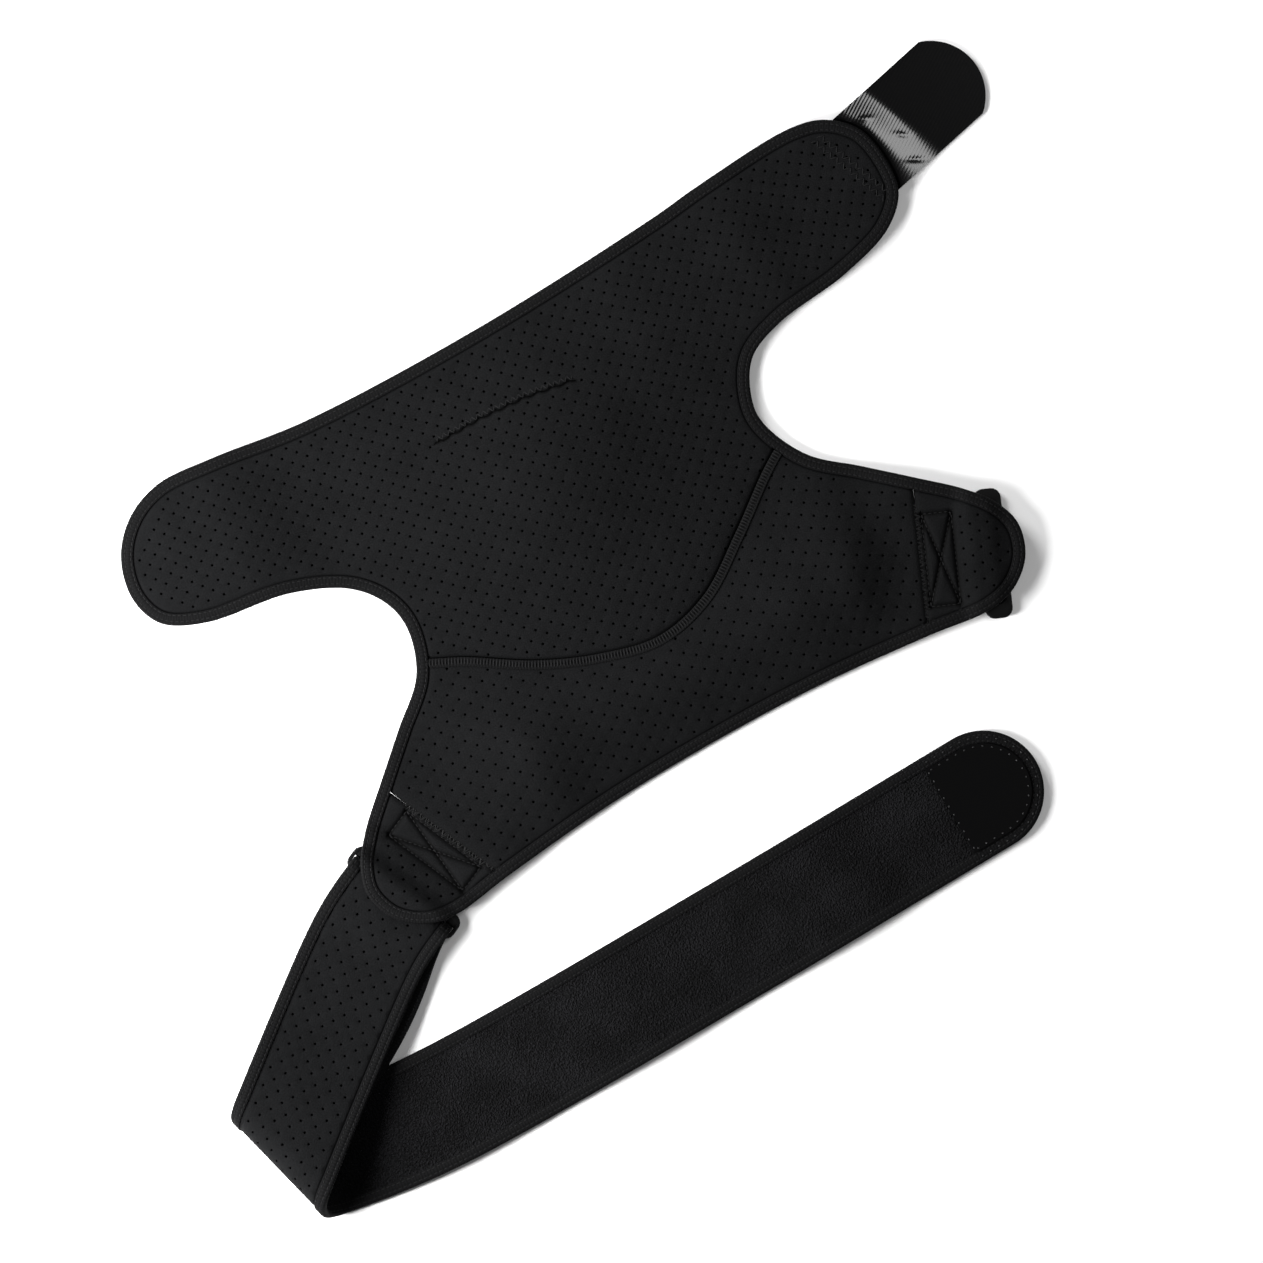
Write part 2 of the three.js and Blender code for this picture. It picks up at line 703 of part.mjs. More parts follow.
// Binding round the strap, from the folded end along one edge, round the end and back
function strapBinding() {
  const half = strapWidth / 2;
  const arcSteps = 14;
  const edge = (sign) => strapRuns.map((run) => ({
    at: (inset) => ({ run: run + sign * (half - inset) * skewAt(run), side: sign * (half - inset) }),
  }));
  const arc = [];
  for (let k = 1; k < arcSteps; k += 1) {
    const angle = Math.PI / 2 - (k / arcSteps) * Math.PI;
    arc.push({
      at: (inset) => ({
        run: roundFrom + (half - inset) * Math.cos(angle),
        side: (half - inset) * Math.sin(angle),
      }),
    });
  }
  const path = [...edge(1), ...arc, ...edge(-1).reverse()];
  const sides = tapeSection.length;
  const geometry = new THREE.CylinderGeometry(1, 1, 1, sides, path.length - 1);
  const points = geometry.getAttribute('position');
  for (let i = 0; i < points.count; i += 1) {
    const x = points.getX(i);
    const z = points.getZ(i);
    const station = path[Math.round((points.getY(i) + 0.5) * (path.length - 1))];
    const corner = Math.round((Math.atan2(x, z) / (2 * Math.PI)) * sides + sides) % sides;
    const middle = Math.hypot(x, z) < 0.5;
    const section = middle ? { inset: tapeLip / 2, height: 0 } : tapeSection[corner];
    const place = station.at(section.inset);
    const spot = strapSpot(place.run, place.side, (section.height * boundEdge) / 2);
    points.setXYZ(i, spot.x, spot.y, spot.z);
  }
  return facingOut(bare(geometry));
}

addMesh('strap_binding', strapBinding(), 'tape');

// Hook tab, sewn under the tip of the right lobe
const tabRoot = lobePoint(1, { reach: 0.8, up: 0.759 });

function tabGeometry() {
  const along = new THREE.Vector3(Math.cos(tabTilt), Math.sin(tabTilt), 0);
  const across = new THREE.Vector3(-along.y, along.x, 0);
  const straight = tabHidden + tabShown;
  const roundness = (tabBulge ** 2 + (tabWidth / 2) ** 2) / (2 * tabBulge);
  return bentBox(12, 6, (share, side, face) => {
    const step = (side * tabWidth) / 2;
    const bulge = Math.sqrt(roundness ** 2 - step ** 2) - roundness + tabBulge;
    const run = share * straight + bulge * smoothstep(share, 0.6, 1);
    const spot = tabRoot.clone().addScaledVector(along, run).addScaledVector(across, step);
    spot.z = lerp(tabSeat, tabThick / 2, smoothstep(run, tabHidden, 0.8 * straight)) + (face * tabThick) / 2;
    return spot;
  });
}

addMesh('hook_tab', tabGeometry(), 'hooks');

// The origin is the middle of the brace's box, on the table
brace.updateMatrixWorld(true);
const box = new THREE.Box3().setFromObject(brace, true);
const boxMiddle = box.getCenter(new THREE.Vector3());
brace.position.set(-boxMiddle.x, -boxMiddle.y, -box.min.z);

export default brace;
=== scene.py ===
"""A shoulder brace of perforated neoprene, laid flat with its skin side up.

Metres, +Z up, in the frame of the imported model. Flat cuts are drawn in the brace's own plan, which is
measured from the middle of the cuff, and are then laid on the soft swells of the cloth or along the folded
strap.
"""

import math
from collections import namedtuple

import bpy
import numpy as np
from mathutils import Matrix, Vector
from mathutils.geometry import delaunay_2d_cdt


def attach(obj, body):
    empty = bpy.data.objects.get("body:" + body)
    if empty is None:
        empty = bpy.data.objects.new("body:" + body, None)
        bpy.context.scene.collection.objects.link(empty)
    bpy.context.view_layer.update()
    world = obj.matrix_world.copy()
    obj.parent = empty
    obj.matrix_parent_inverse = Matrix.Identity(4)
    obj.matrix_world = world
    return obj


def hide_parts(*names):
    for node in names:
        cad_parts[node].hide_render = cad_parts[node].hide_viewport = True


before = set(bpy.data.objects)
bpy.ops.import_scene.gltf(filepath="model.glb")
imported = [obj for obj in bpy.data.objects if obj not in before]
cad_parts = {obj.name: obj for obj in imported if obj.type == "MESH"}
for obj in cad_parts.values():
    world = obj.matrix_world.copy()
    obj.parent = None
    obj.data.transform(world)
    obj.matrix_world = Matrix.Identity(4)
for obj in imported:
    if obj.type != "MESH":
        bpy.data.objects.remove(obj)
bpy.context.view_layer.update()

bl_info = {
    "name": "Shoulder brace",
    "version": (1, 0, 0),
    "blender": (4, 5, 0),
    "location": "View3D > Sidebar > Brace",
    "description": "Dresses a perforated neoprene shoulder brace around its packed frame",
    "category": "Object",
}

# Cloth and tape
NEOPRENE = 0.0028
TAPE_WALL = 0.0006
TAPE_WIDTH = 0.006
FIT = 0.0003
BOUND_EDGE = NEOPRENE + 2 * TAPE_WALL
SKIN = NEOPRENE / 2
UNDER_TAPE = 0.0012  # how far the cloth's cut edge lies in from the edge of the tape

# Outline of the cuff and the chest panel
WAIST = 0.103
CUFF_REACH = 0.218
CUFF_RISE = 0.145
CHEST_REACH = 0.187
CHEST_DROP = 0.1145
SEAM_DIP = 0.046
CROWN = 0.012
BRACE_MIDDLE = (0.009666, 0.038242)  # where the plan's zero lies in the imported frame

# Ring, webbing loop and end pad
PULL_TURN = math.radians(23.5)
WEB = 0.0012
RING_BAR = 0.0032
RING_BEVEL = 0.0008
RING_END = 0.0018
RING_PLAY = 0.0003
SLOT_SLACK = 0.0013
PAD_LINE = 0.031

# Strap
STRAP_WIDTH = 0.061
STRAP_RUN = 0.586
STRAP_PLY = 0.095
PLY_SWAY = 0.0055
CREASE_RUN = 0.132
CREASE_TILT = math.radians(14.2)
FOLD_RADIUS = 0.011
STRAP_WAVE = 0.002
WAVE_PITCH = 0.11

# Hook pieces
END_PATCH_LENGTH = 0.05
END_PATCH_THICK = 0.0012
KEEPER_THICK = 0.0013
TAB_WIDTH = 0.048
TAB_THICK = 0.0016
TAB_TILT = math.radians(12.5)
TAB_HIDDEN = 0.024
TAB_SHOWN = 0.051
TAB_BULGE = 0.014

# Sizes that follow
BAR_ROUND = math.hypot(RING_BAR / 2, RING_BAR / 2 - RING_BEVEL)
WEB_EYE_OUTER = BAR_ROUND + FIT + WEB
STRAP_EYE = BAR_ROUND + FIT + BOUND_EDGE / 2
STRAP_EYE_OUTER = STRAP_EYE + BOUND_EDGE / 2
RING_PITCH = WEB_EYE_OUTER + STRAP_EYE_OUTER + SLOT_SLACK
RING_LENGTH = STRAP_WIDTH + 2 * RING_PLAY + 2 * RING_END
INNER_BAR_HEIGHT = WEB_EYE_OUTER + FIT / 3
FREE_BAR_HEIGHT = BAR_ROUND + FIT / 3
THREADED_BAR_HEIGHT = STRAP_EYE_OUTER + FIT / 3
PLY_SPACING = max(BOUND_EDGE + 2 * FIT, NEOPRENE + KEEPER_THICK + 3 * FIT)
TAB_SEAT = 0.0019
LOBE_SEAT = TAB_SEAT + TAB_THICK / 2 + FIT + BOUND_EDGE / 2
TAIL_SEAT = INNER_BAR_HEIGHT + WEB + FIT + BOUND_EDGE / 2
EYE_SEAT = INNER_BAR_HEIGHT + WEB_EYE_OUTER + 2 * FIT + BOUND_EDGE / 2
THREAD_SEAT = THREADED_BAR_HEIGHT + STRAP_EYE_OUTER + FIT + BOUND_EDGE / 2
STRAP_HALF = STRAP_WIDTH / 2
ROUND_FROM = STRAP_RUN - STRAP_HALF
PLY_END = -math.pi * STRAP_EYE - STRAP_PLY

# Outline rows. reach: share of the way from the waist to the tip. rise: share of the cuff's rise.
Lobe = namedtuple("Lobe", "reach rise")
LEFT_LOBE = [
    Lobe(0.01, 0.15), Lobe(0.035, 0.26), Lobe(0.14, 0.365), Lobe(0.38, 0.455), Lobe(0.757, 0.51),
    Lobe(0.93, 0.586), Lobe(0.983, 0.703), Lobe(0.94, 0.848), Lobe(0.817, 0.955), Lobe(0.643, 1.007),
    Lobe(0.383, 0.993), Lobe(-0.052, 0.945),
]
RIGHT_LOBE = [
    Lobe(-0.017, 0.166), Lobe(0, 0.262), Lobe(0.087, 0.372), Lobe(0.26, 0.428), Lobe(0.609, 0.462),
    Lobe(0.87, 0.524), Lobe(0.991, 0.614), Lobe(1.017, 0.724), Lobe(0.983, 0.869), Lobe(0.87, 0.959),
    Lobe(0.722, 0.993), Lobe(0.26, 0.979), Lobe(0, 0.959),
]
TOP_MIDDLE = Lobe(-1, 0.928)

# Chest rows. reach: as above. drop: share of the chest panel's drop.
Chest = namedtuple("Chest", "reach drop")
CHEST_EDGE = [
    Chest(0.107, 0.009), Chest(0.357, 0.175), Chest(0.595, 0.332), Chest(0.821, 0.485), Chest(0.952, 0.611),
    Chest(1, 0.734), Chest(0.94, 0.873), Chest(0.786, 0.969), Chest(0.607, 1), Chest(0.202, 0.965),
    Chest(-0.512, 0.917),
]
BOTTOM_MIDDLE = Chest(-WAIST / (CHEST_REACH - WAIST), 0.904)

# Seam rows. across: share of the waist. dip: share of the seam's sag.
Seam = namedtuple("Seam", "across dip")
SEAM_ROWS = [
    Seam(-1.45, -0.7), Seam(-1.068, -0.109), Seam(-0.845, 0.152), Seam(-0.553, 0.565), Seam(-0.262, 0.848),
    Seam(0.03, 1), Seam(0.32, 0.859), Seam(0.612, 0.435), Seam(0.874, 0), Seam(1.03, -0.217),
    Seam(1.45, -0.8),
]

# Soft swells. x, wide: share of the cuff's reach. y, deep: share of its rise. rise: share of the crown.
Swell = namedtuple("Swell", "name x wide y deep rise")
SWELLS = [
    Swell("cuff dome", 0, 0.28, 0.39, 0.38, 1),
    Swell("ridge below the seam", 0, 0.5, -0.46, 0.19, 0.5),
    Swell("left lobe", -0.8, 0.2, 0.74, 0.35, 0.45),
    Swell("right lobe", 0.6, 0.22, 0.72, 0.35, 0.3),
    Swell("right chest", 0.38, 0.17, -0.45, 0.28, 0.5),
    Swell("left chest", -0.4, 0.17, -0.42, 0.28, 0.35),
]

# Soft waves that the light picks out between the swells, in the same shares
WAVES = [
    Swell("left lobe crest", -0.69, 0.083, 0.72, 0.35, 0.19),
    Swell("left cuff crest", -0.34, 0.13, 0.6, 0.35, 0.12),
    Swell("right cuff crest", 0.35, 0.085, 0.75, 0.28, 0.16),
    Swell("right lobe crest", 0.67, 0.08, 0.72, 0.35, 0.16),
    Swell("right chest crest", 0.5, 0.08, -0.4, 0.27, 0.3),
    Swell("left chest crest", -0.36, 0.07, -0.5, 0.2, 0.13),
]

# Puff of the cuff behind the seam
BELLY_RISE = 0.0045
BELLY_RUN = 0.012  # how soon it rises
BELLY_REACH = 0.075  # how far it spreads to each side

# Way that the strap heads before it is folded. run: share of its length.
# turn: degrees below the level line.
Course = namedtuple("Course", "run turn")
STRAP_COURSE = [
    Course(0, 23.5), Course(0.06, 35.2), Course(0.17, 38), Course(0.315, 38), Course(0.45, 29.6),
    Course(0.72, 27.5), Course(1, 27.1),
]

# Rise of the first run. way: share of the way from the ring to the fold. rise: share of its climb.
Climb = namedtuple("Climb", "way rise")
STRAP_CLIMB = [
    Climb(0, 0), Climb(0.12, -0.04), Climb(0.3, -0.08), Climb(0.6, 0.3), Climb(0.85, 0.85), Climb(1, 1),
]

# Section of the folded tape, in millimetres. inset: in from the edge. height: over the middle of the cloth.
Tape = namedtuple("Tape", "inset height")
TAPE_SECTION = [
    Tape(6, 1.42), Tape(5.95, 1.8), Tape(5.6, 1.92), Tape(5.15, 1.68), Tape(4.7, 1.94), Tape(3.6, 2.06),
    Tape(2.6, 1.96), Tape(2.1, 1.7), Tape(1.6, 1.94), Tape(0.9, 1.86), Tape(0.3, 1.35), Tape(0.02, 0.55),
    Tape(0.02, -0.55), Tape(0.3, -1.35), Tape(0.9, -1.86), Tape(1.6, -1.94), Tape(2.1, -1.7),
    Tape(2.6, -1.96), Tape(4.7, -1.94), Tape(5.15, -1.68), Tape(5.6, -1.92), Tape(5.95, -1.8),
    Tape(6, -1.42), Tape(1.2, -1.38), Tape(0.8, -0.8), Tape(0.8, 0.8), Tape(1.2, 1.38),
]


# Small measures

TINY = 1e-9  # keeps a division away from zero


def lerp(a, b, share):
    return a + (b - a) * share


def smoothstep(x, low, high):
    t = np.clip((x - low) / (high - low), 0, 1)
    return t * t * (3 - 2 * t)


def column(rows, key):
    return np.array([getattr(row, key) for row in rows], float)


def through(rows, key, value, at):
    """Smooth curve through rows, level at both ends."""
    keys, values = column(rows, key), column(rows, value)
    at = np.clip(at, keys[0], keys[-1])
    low = np.clip(np.searchsorted(keys, at, side="right") - 1, 0, len(keys) - 2)
    slopes = np.zeros(len(keys))
    slopes[1:-1] = (values[2:] - values[:-2]) / (keys[2:] - keys[:-2])
    width = keys[low + 1] - keys[low]
    t = (at - keys[low]) / width
    rise = values[low + 1] - values[low]
    bend = width * t * (1 - t)
    lean = slopes[low] * (1 - t) - slopes[low + 1] * t
    return values[low] + rise * t * t * (3 - 2 * t) + bend * lean


def eased(seats, at):
    """Height over rows of (out, height), joined by soft steps."""
    height = np.full(np.shape(at), seats[0][1], float)
    for (low, below), (high, above) in zip(seats, seats[1:]):
        height = height + (above - below) * smoothstep(at, low, high)
    return height


def smooth_curve(points, closed, steps):
    """Centripetal curve through points, with steps on each stretch."""
    points = np.asarray(points, float)
    count = len(points)
    if closed:
        padded = np.vstack([points[-1], points, points[:2]])
        stretches = count
    else:
        padded = np.vstack([2 * points[0] - points[1], points, 2 * points[-1] - points[-2]])
        stretches = count - 1
    t = (np.arange(steps) / steps)[:, None]
    pieces = []
    for k in range(stretches):
        p0, p1, p2, p3 = padded[k:k + 4]
        d0, d1, d2 = (math.sqrt(np.linalg.norm(b - a)) for a, b in ((p0, p1), (p1, p2), (p2, p3)))
        start = ((p1 - p0) / d0 - (p2 - p0) / (d0 + d1) + (p2 - p1) / d1) * d1
        end = ((p2 - p1) / d1 - (p3 - p1) / (d1 + d2) + (p3 - p2) / d2) * d1
        bend = 2 * p1 - 2 * p2 + start + end
        turn = -3 * p1 + 3 * p2 - 2 * start - end
        pieces.append(p1 + start * t + turn * t ** 2 + bend * t ** 3)
    if not closed:
        pieces.append(points[-1:])
    return np.vstack(pieces)


def paced(line, step, closed=False):
    """The line's points at even steps along it."""
    line = np.vstack([line, line[:1]]) if closed else np.asarray(line)
    along = np.concatenate([[0], np.cumsum(np.linalg.norm(np.diff(line, axis=0), axis=1))])
    count = max(2, round(along[-1] / step))
    at = np.linspace(0, along[-1], count + 1)
    if closed:
        at = at[:-1]
    return np.column_stack([np.interp(at, along, line[:, k]) for k in range(line.shape[1])])


def way_along(line, closed=False):
    """Unit way of a line at each of its points."""
    if closed:
        ahead = np.roll(line, -1, axis=0) - np.roll(line, 1, axis=0)
    else:
        ahead = np.gradient(line, axis=0)
    return ahead / np.linalg.norm(ahead, axis=1)[:, None]


def to_left(way):
    return np.column_stack([-way[:, 1], way[:, 0]])


def inside(loop, points):
    """True where a point lies within a closed loop."""
    hit = np.zeros(len(points), bool)
    after = np.roll(loop, -1, axis=0)
    for (ax, ay), (bx, by) in zip(loop, after):
        if ay == by:
            continue
        crosses = (points[:, 1] < ay) != (points[:, 1] < by)
        hit ^= crosses & (points[:, 0] < ax + (points[:, 1] - ay) * (bx - ax) / (by - ay))
    return hit


def distance_to(line, points):
    """Distance from each point to an open line."""
    nearest = np.full(len(points), np.inf)
    for a, b in zip(line, line[1:]):
        span = b - a
        share = np.clip(((points - a) @ span) / max(span @ span, TINY ** 2), 0, 1)
        nearest = np.minimum(nearest, np.linalg.norm(points - a - share[:, None] * span, axis=1))
    return nearest


# The two panels

End = namedtuple("End", "name pull across anchor tilt seats")


def chest_end(name, side, bar_height, seats, reach, drop):
    """One end of the chest panel: its ring's way and tilt, and the rows that its cloth rests on."""
    pull = np.array([side * math.cos(PULL_TURN), -math.sin(PULL_TURN)])
    across = np.array([-pull[1], pull[0]])
    anchor = np.array([side * lerp(WAIST, CHEST_REACH, reach), -CHEST_DROP * drop])
    tilt = math.asin((bar_height - INNER_BAR_HEIGHT) / RING_PITCH)
    return End(name, pull, across, anchor, tilt, seats)


RIGHT_END = chest_end("right", 1, FREE_BAR_HEIGHT, [
    (-4 * WEB_EYE_OUTER, TAIL_SEAT),
    (-WEB_EYE_OUTER, EYE_SEAT),
    (WEB_EYE_OUTER, EYE_SEAT),
    (RING_PITCH + WEB_EYE_OUTER, TAIL_SEAT),
], reach=0.724, drop=0.774)
LEFT_END = chest_end("left", -1, THREADED_BAR_HEIGHT, [
    (-5 * WEB_EYE_OUTER, TAIL_SEAT),
    (-1.5 * WEB_EYE_OUTER, EYE_SEAT),
    (RING_PITCH - STRAP_EYE_OUTER, THREAD_SEAT),
], reach=0.754, drop=0.786)
ENDS = [RIGHT_END, LEFT_END]

# How the cloth climbs on to the webbing loops and the rings
RISE_RUN = 0.038
RISE_SIDE = 0.04
RISE_FADE = 0.05

# Where the right lobe comes to lie on its tab, as shares of the cuff's reach and rise
TAB_FROM = Lobe(0.6, 0.1)
TAB_UNDER = Lobe(0.86, 0.35)


def end_place(end, points):
    """How far out along the ring's pull, and how far to its side, each point lies."""
    away = points - end.anchor
    return away @ end.pull, away @ end.across


def end_plan(end, out, side):
    return end.anchor + np.outer(out, end.pull) + np.outer(side, end.across)


def lift(points):
    """Middle of the cloth's thickness over the table, at places on the two panels."""
    x, y = points[:, 0], points[:, 1]
    height = np.full(len(points), BOUND_EDGE / 2)
    for swell in SWELLS + WAVES:
        across = (x / CUFF_REACH - swell.x) / swell.wide
        up = (y / CUFF_RISE - swell.y) / swell.deep
        height += CROWN * swell.rise * np.exp(-across ** 2 - up ** 2)
    behind = np.maximum(y - seam_height(x), 0)
    fade = np.exp(-(behind / (4 * BELLY_RUN)) ** 2 - (x / BELLY_REACH) ** 2)
    height += BELLY_RISE * (1 - np.exp(-behind / BELLY_RUN)) * fade
    for end in ENDS:
        out, side = end_place(end, points)
        climb = smoothstep(out, -PAD_LINE - RISE_RUN, -PAD_LINE)
        beside = 1 - smoothstep(np.abs(side), RISE_SIDE, RISE_SIDE + RISE_FADE)
        height = lerp(height, eased(end.seats, out), climb * beside)
    out = smoothstep(x, TAB_FROM.reach * CUFF_REACH, TAB_UNDER.reach * CUFF_REACH)
    up = smoothstep(y, TAB_FROM.rise * CUFF_RISE, TAB_UNDER.rise * CUFF_RISE)
    return lerp(height, LOBE_SEAT, out * up)


def lobe_plan(side, row):
    return (side * lerp(WAIST, CUFF_REACH, row.reach), CUFF_RISE * row.rise)


def chest_plan(side, row):
    return (side * lerp(WAIST, CHEST_REACH, row.reach), -CHEST_DROP * row.drop)


CURVE_STEPS = 40
OUTLINE_STEP = 0.002
OUTLINE = paced(smooth_curve([
    chest_plan(1, BOTTOM_MIDDLE),
    *[chest_plan(1, row) for row in reversed(CHEST_EDGE)],
    *[lobe_plan(1, row) for row in RIGHT_LOBE],
    (0, CUFF_RISE * TOP_MIDDLE.rise),
    *[lobe_plan(-1, row) for row in reversed(LEFT_LOBE)],
    *[chest_plan(-1, row) for row in CHEST_EDGE],
], True, CURVE_STEPS), OUTLINE_STEP, closed=True)
OUTLINE_IN = to_left(way_along(OUTLINE, closed=True))
SEAM = paced(smooth_curve([
    (row.across * WAIST, -row.dip * SEAM_DIP) for row in SEAM_ROWS
], False, CURVE_STEPS), OUTLINE_STEP)


def seam_height(x):
    return np.interp(x, SEAM[:, 0], SEAM[:, 1])


def in_frame(spots):
    """The places, moved from the brace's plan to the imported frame."""
    spots[:, :2] += BRACE_MIDDLE
    return spots


def on_panels(flat):
    """Lays flat places (x, y, height over the cloth's middle) on the two panels."""
    spots = np.array(flat, float)
    spots[:, 2] += lift(spots[:, :2])
    return in_frame(spots)


# The strap

THREAD_POINT = LEFT_END.anchor + LEFT_END.pull * RING_PITCH * math.cos(LEFT_END.tilt)


def heading_at(run):
    return np.radians(through(STRAP_COURSE, "run", "turn", np.asarray(run, float) / STRAP_RUN))


def heading_way(turn):
    return np.stack([-np.cos(turn), -np.sin(turn)], axis=-1)


def across_way(turn):
    return np.stack([np.sin(turn), -np.cos(turn)], axis=-1)


COURSE_STEP = 0.001
COURSE_RUNS = np.arange(0, STRAP_RUN + STRAP_WIDTH, COURSE_STEP)
COURSE = THREAD_POINT + np.vstack([
    np.zeros((1, 2)),
    np.cumsum(heading_way(heading_at(COURSE_RUNS[:-1] + COURSE_STEP / 2)) * COURSE_STEP, axis=0),
])


def course_point(run):
    return np.stack([np.interp(run, COURSE_RUNS, COURSE[:, k]) for k in range(2)], axis=-1)


CREASE_WAY = heading_way(CREASE_TILT)
CREASE_POINT = course_point(CREASE_RUN)
STRAP_FLOOR = BOUND_EDGE / 2
BAR_TOP = THREADED_BAR_HEIGHT + STRAP_EYE
FOLD_TOP = STRAP_FLOOR + 2 * FOLD_RADIUS
NUDGE = 0.0002  # step that finds which way the strap faces


def laid_strap(run, side):
    """Middle of the strap's thickness past its ring, through the one fold."""
    plan = course_point(run) + across_way(heading_at(run)) * side[:, None]
    past = (plan - CREASE_POINT) @ CREASE_WAY
    way = np.where(past <= 0, run / np.maximum(run - past, TINY), 1)
    climbing = lerp(BAR_TOP, FOLD_TOP, through(STRAP_CLIMB, "way", "rise", way))
    turn = np.clip(past / FOLD_RADIUS, 0, math.pi)
    back = np.maximum(past - math.pi * FOLD_RADIUS, 0)
    shift = np.where(past > 0, FOLD_RADIUS * np.sin(turn) - past - back, 0)
    calm = 1 - smoothstep(run, STRAP_RUN - WAVE_PITCH, STRAP_RUN - 1.3 * END_PATCH_LENGTH)
    wave = STRAP_WAVE * calm * (1 - np.cos(2 * math.pi * back / WAVE_PITCH)) / 2
    folded = STRAP_FLOOR + FOLD_RADIUS * (1 + np.cos(turn)) + wave
    return np.column_stack([plan + shift[:, None] * CREASE_WAY, np.where(past <= 0, climbing, folded)])


def strap_middle(run, side):
    """Middle of the strap's thickness, also round the ring's bar and along the folded-back end."""
    spots = laid_strap(np.maximum(run, 0), side)
    bar = (run < 0) & (run > -math.pi * STRAP_EYE)
    if bar.any():
        turn = -run[bar] / STRAP_EYE
        first = heading_at(0.0)
        plan = THREAD_POINT + np.outer(side[bar], across_way(first))
        plan -= np.outer(STRAP_EYE * np.sin(turn), heading_way(first))
        spots[bar] = np.column_stack([plan, THREADED_BAR_HEIGHT + STRAP_EYE * np.cos(turn)])
    back = run <= -math.pi * STRAP_EYE
    if back.any():
        ply = -run[back] - math.pi * STRAP_EYE
        sway = PLY_SWAY * np.sin(math.pi * np.minimum(ply, STRAP_PLY) / STRAP_PLY)
        laid = laid_strap(ply, side[back] + sway)
        laid[:, 2] -= lerp(2 * STRAP_EYE, PLY_SPACING, smoothstep(ply, 0, 4 * STRAP_EYE_OUTER))
        spots[back] = laid
    return spots


def on_strap(flat):
    """Lays flat places (run, side, height over the cloth's middle) along the strap, its skin up."""
    run, side, height = np.asarray(flat, float).T
    forward = strap_middle(run + NUDGE, side) - strap_middle(run - NUDGE, side)
    sideways = strap_middle(run, side + NUDGE) - strap_middle(run, side - NUDGE)
    normal = np.cross(forward, sideways)
    normal /= np.linalg.norm(normal, axis=1)[:, None]
    return in_frame(strap_middle(run, side) + normal * height[:, None])


# Hook tab

TAB_ROOT = np.array(lobe_plan(1, Lobe(0.8, 0.759)))
TAB_STRAIGHT = TAB_HIDDEN + TAB_SHOWN
TAB_ROUND = (TAB_BULGE ** 2 + (TAB_WIDTH / 2) ** 2) / (2 * TAB_BULGE)
TAB_HUMP = 0.0009  # how far the film springs up past the lobe's edge
TAB_CREST = 0.05  # share of the way from the lobe's edge to the flat part
TAB_FLAT_FROM = 0.0445  # run at which the film lies flat, on the tab's middle line
TAB_FLAT_SKEW = 0.16  # how much sooner it does so for each metre to the side
CREASE_CLEAR = (0.001, 0.004)  # way past the lobe's edge over which the creases set in

# Creases of the film. run, side: middle. reach: half length. half: half width.
# turn: degrees from the tab's own way. rise: height of the crest.
Crease = namedtuple("Crease", "run side reach half turn rise")
TAB_CREASES = [
    Crease(0.0295, 0.0135, 0.0032, 0.0009, -35, 0.0002),
    Crease(0.0375, -0.0045, 0.0036, 0.001, -48, 0.00022),
    Crease(0.0345, -0.0185, 0.0045, 0.0009, -42, 0.00025),
    Crease(0.057, 0.003, 0.012, 0.0008, -5, -0.00006),
]


def tab_plan(run, side):
    along = np.array([math.cos(TAB_TILT), math.sin(TAB_TILT)])
    across = np.array([-along[1], along[0]])
    return TAB_ROOT + np.outer(run, along) + np.outer(side, across)


def on_tab(flat):
    """Lays flat places (run, side, height over the tab's middle) along the hook tab."""
    run, side, height = np.asarray(flat, float).T
    plan = tab_plan(run, side)
    gap = np.where(inside(OUTLINE, plan), 0, distance_to(np.vstack([OUTLINE, OUTLINE[:1]]), plan))
    short = np.maximum(TAB_FLAT_FROM - TAB_FLAT_SKEW * side - run, 0)
    way = gap / np.maximum(gap + short, TINY)
    z = lerp(TAB_SEAT, TAB_THICK / 2, smoothstep(way, TAB_CREST, 1)) + height
    z += TAB_HUMP * smoothstep(way, 0, TAB_CREST) * (1 - smoothstep(way, TAB_CREST, 1))
    for crease in TAB_CREASES:
        ahead, aside = run - crease.run, side - crease.side
        cos, sin = math.cos(math.radians(crease.turn)), math.sin(math.radians(crease.turn))
        along = ahead * cos + aside * sin
        across = aside * cos - ahead * sin
        ridge = np.exp(-(along / crease.reach) ** 2 - (across / crease.half) ** 2)
        z += crease.rise * ridge * smoothstep(gap, *CREASE_CLEAR)
    return in_frame(np.column_stack([plan, z]))


# Mesh work

def deselect():
    for other in bpy.context.selected_objects:
        other.select_set(False)


def only(piece):
    deselect()
    piece.select_set(True)
    bpy.context.view_layer.objects.active = piece


def facing_out(points, faces):
    """The faces, turned round if they enclose a negative volume."""
    volume = 0.0
    for size in {len(face) for face in faces}:
        group = points[np.array([face for face in faces if len(face) == size])]
        for k in range(1, size - 1):
            volume += np.einsum("ij,ij->", group[:, 0], np.cross(group[:, k], group[:, k + 1]))
    return faces if volume > 0 else [tuple(reversed(face)) for face in faces]


def new_piece(name, points, faces, flat=None, sides=None, sunk=None):
    """A mesh object.

    flat gives its UV map in metres and sides each face's material. The last of the three gives how far each
    point is pulled in, which the skin's material turns into painted shade in the grooves.
    """
    mesh = bpy.data.meshes.new(name)
    mesh.from_pydata(points.tolist(), [], faces)
    mesh.update()
    if flat is not None:
        uv = mesh.uv_layers.new(name="flat_cut")
        corner = np.empty(len(mesh.loops), int)
        mesh.loops.foreach_get("vertex_index", corner)
        uv.data.foreach_set("uv", flat[corner, :2].astype(np.float32).ravel())
    if sides is not None:
        mesh.polygons.foreach_set("material_index", sides)
    if sunk is not None:
        depth = mesh.attributes.new(name="sunk", type="FLOAT", domain="POINT")
        depth.data.foreach_set("value", sunk)
    piece = bpy.data.objects.new(name, mesh)
    bpy.context.scene.collection.objects.link(piece)
    return piece


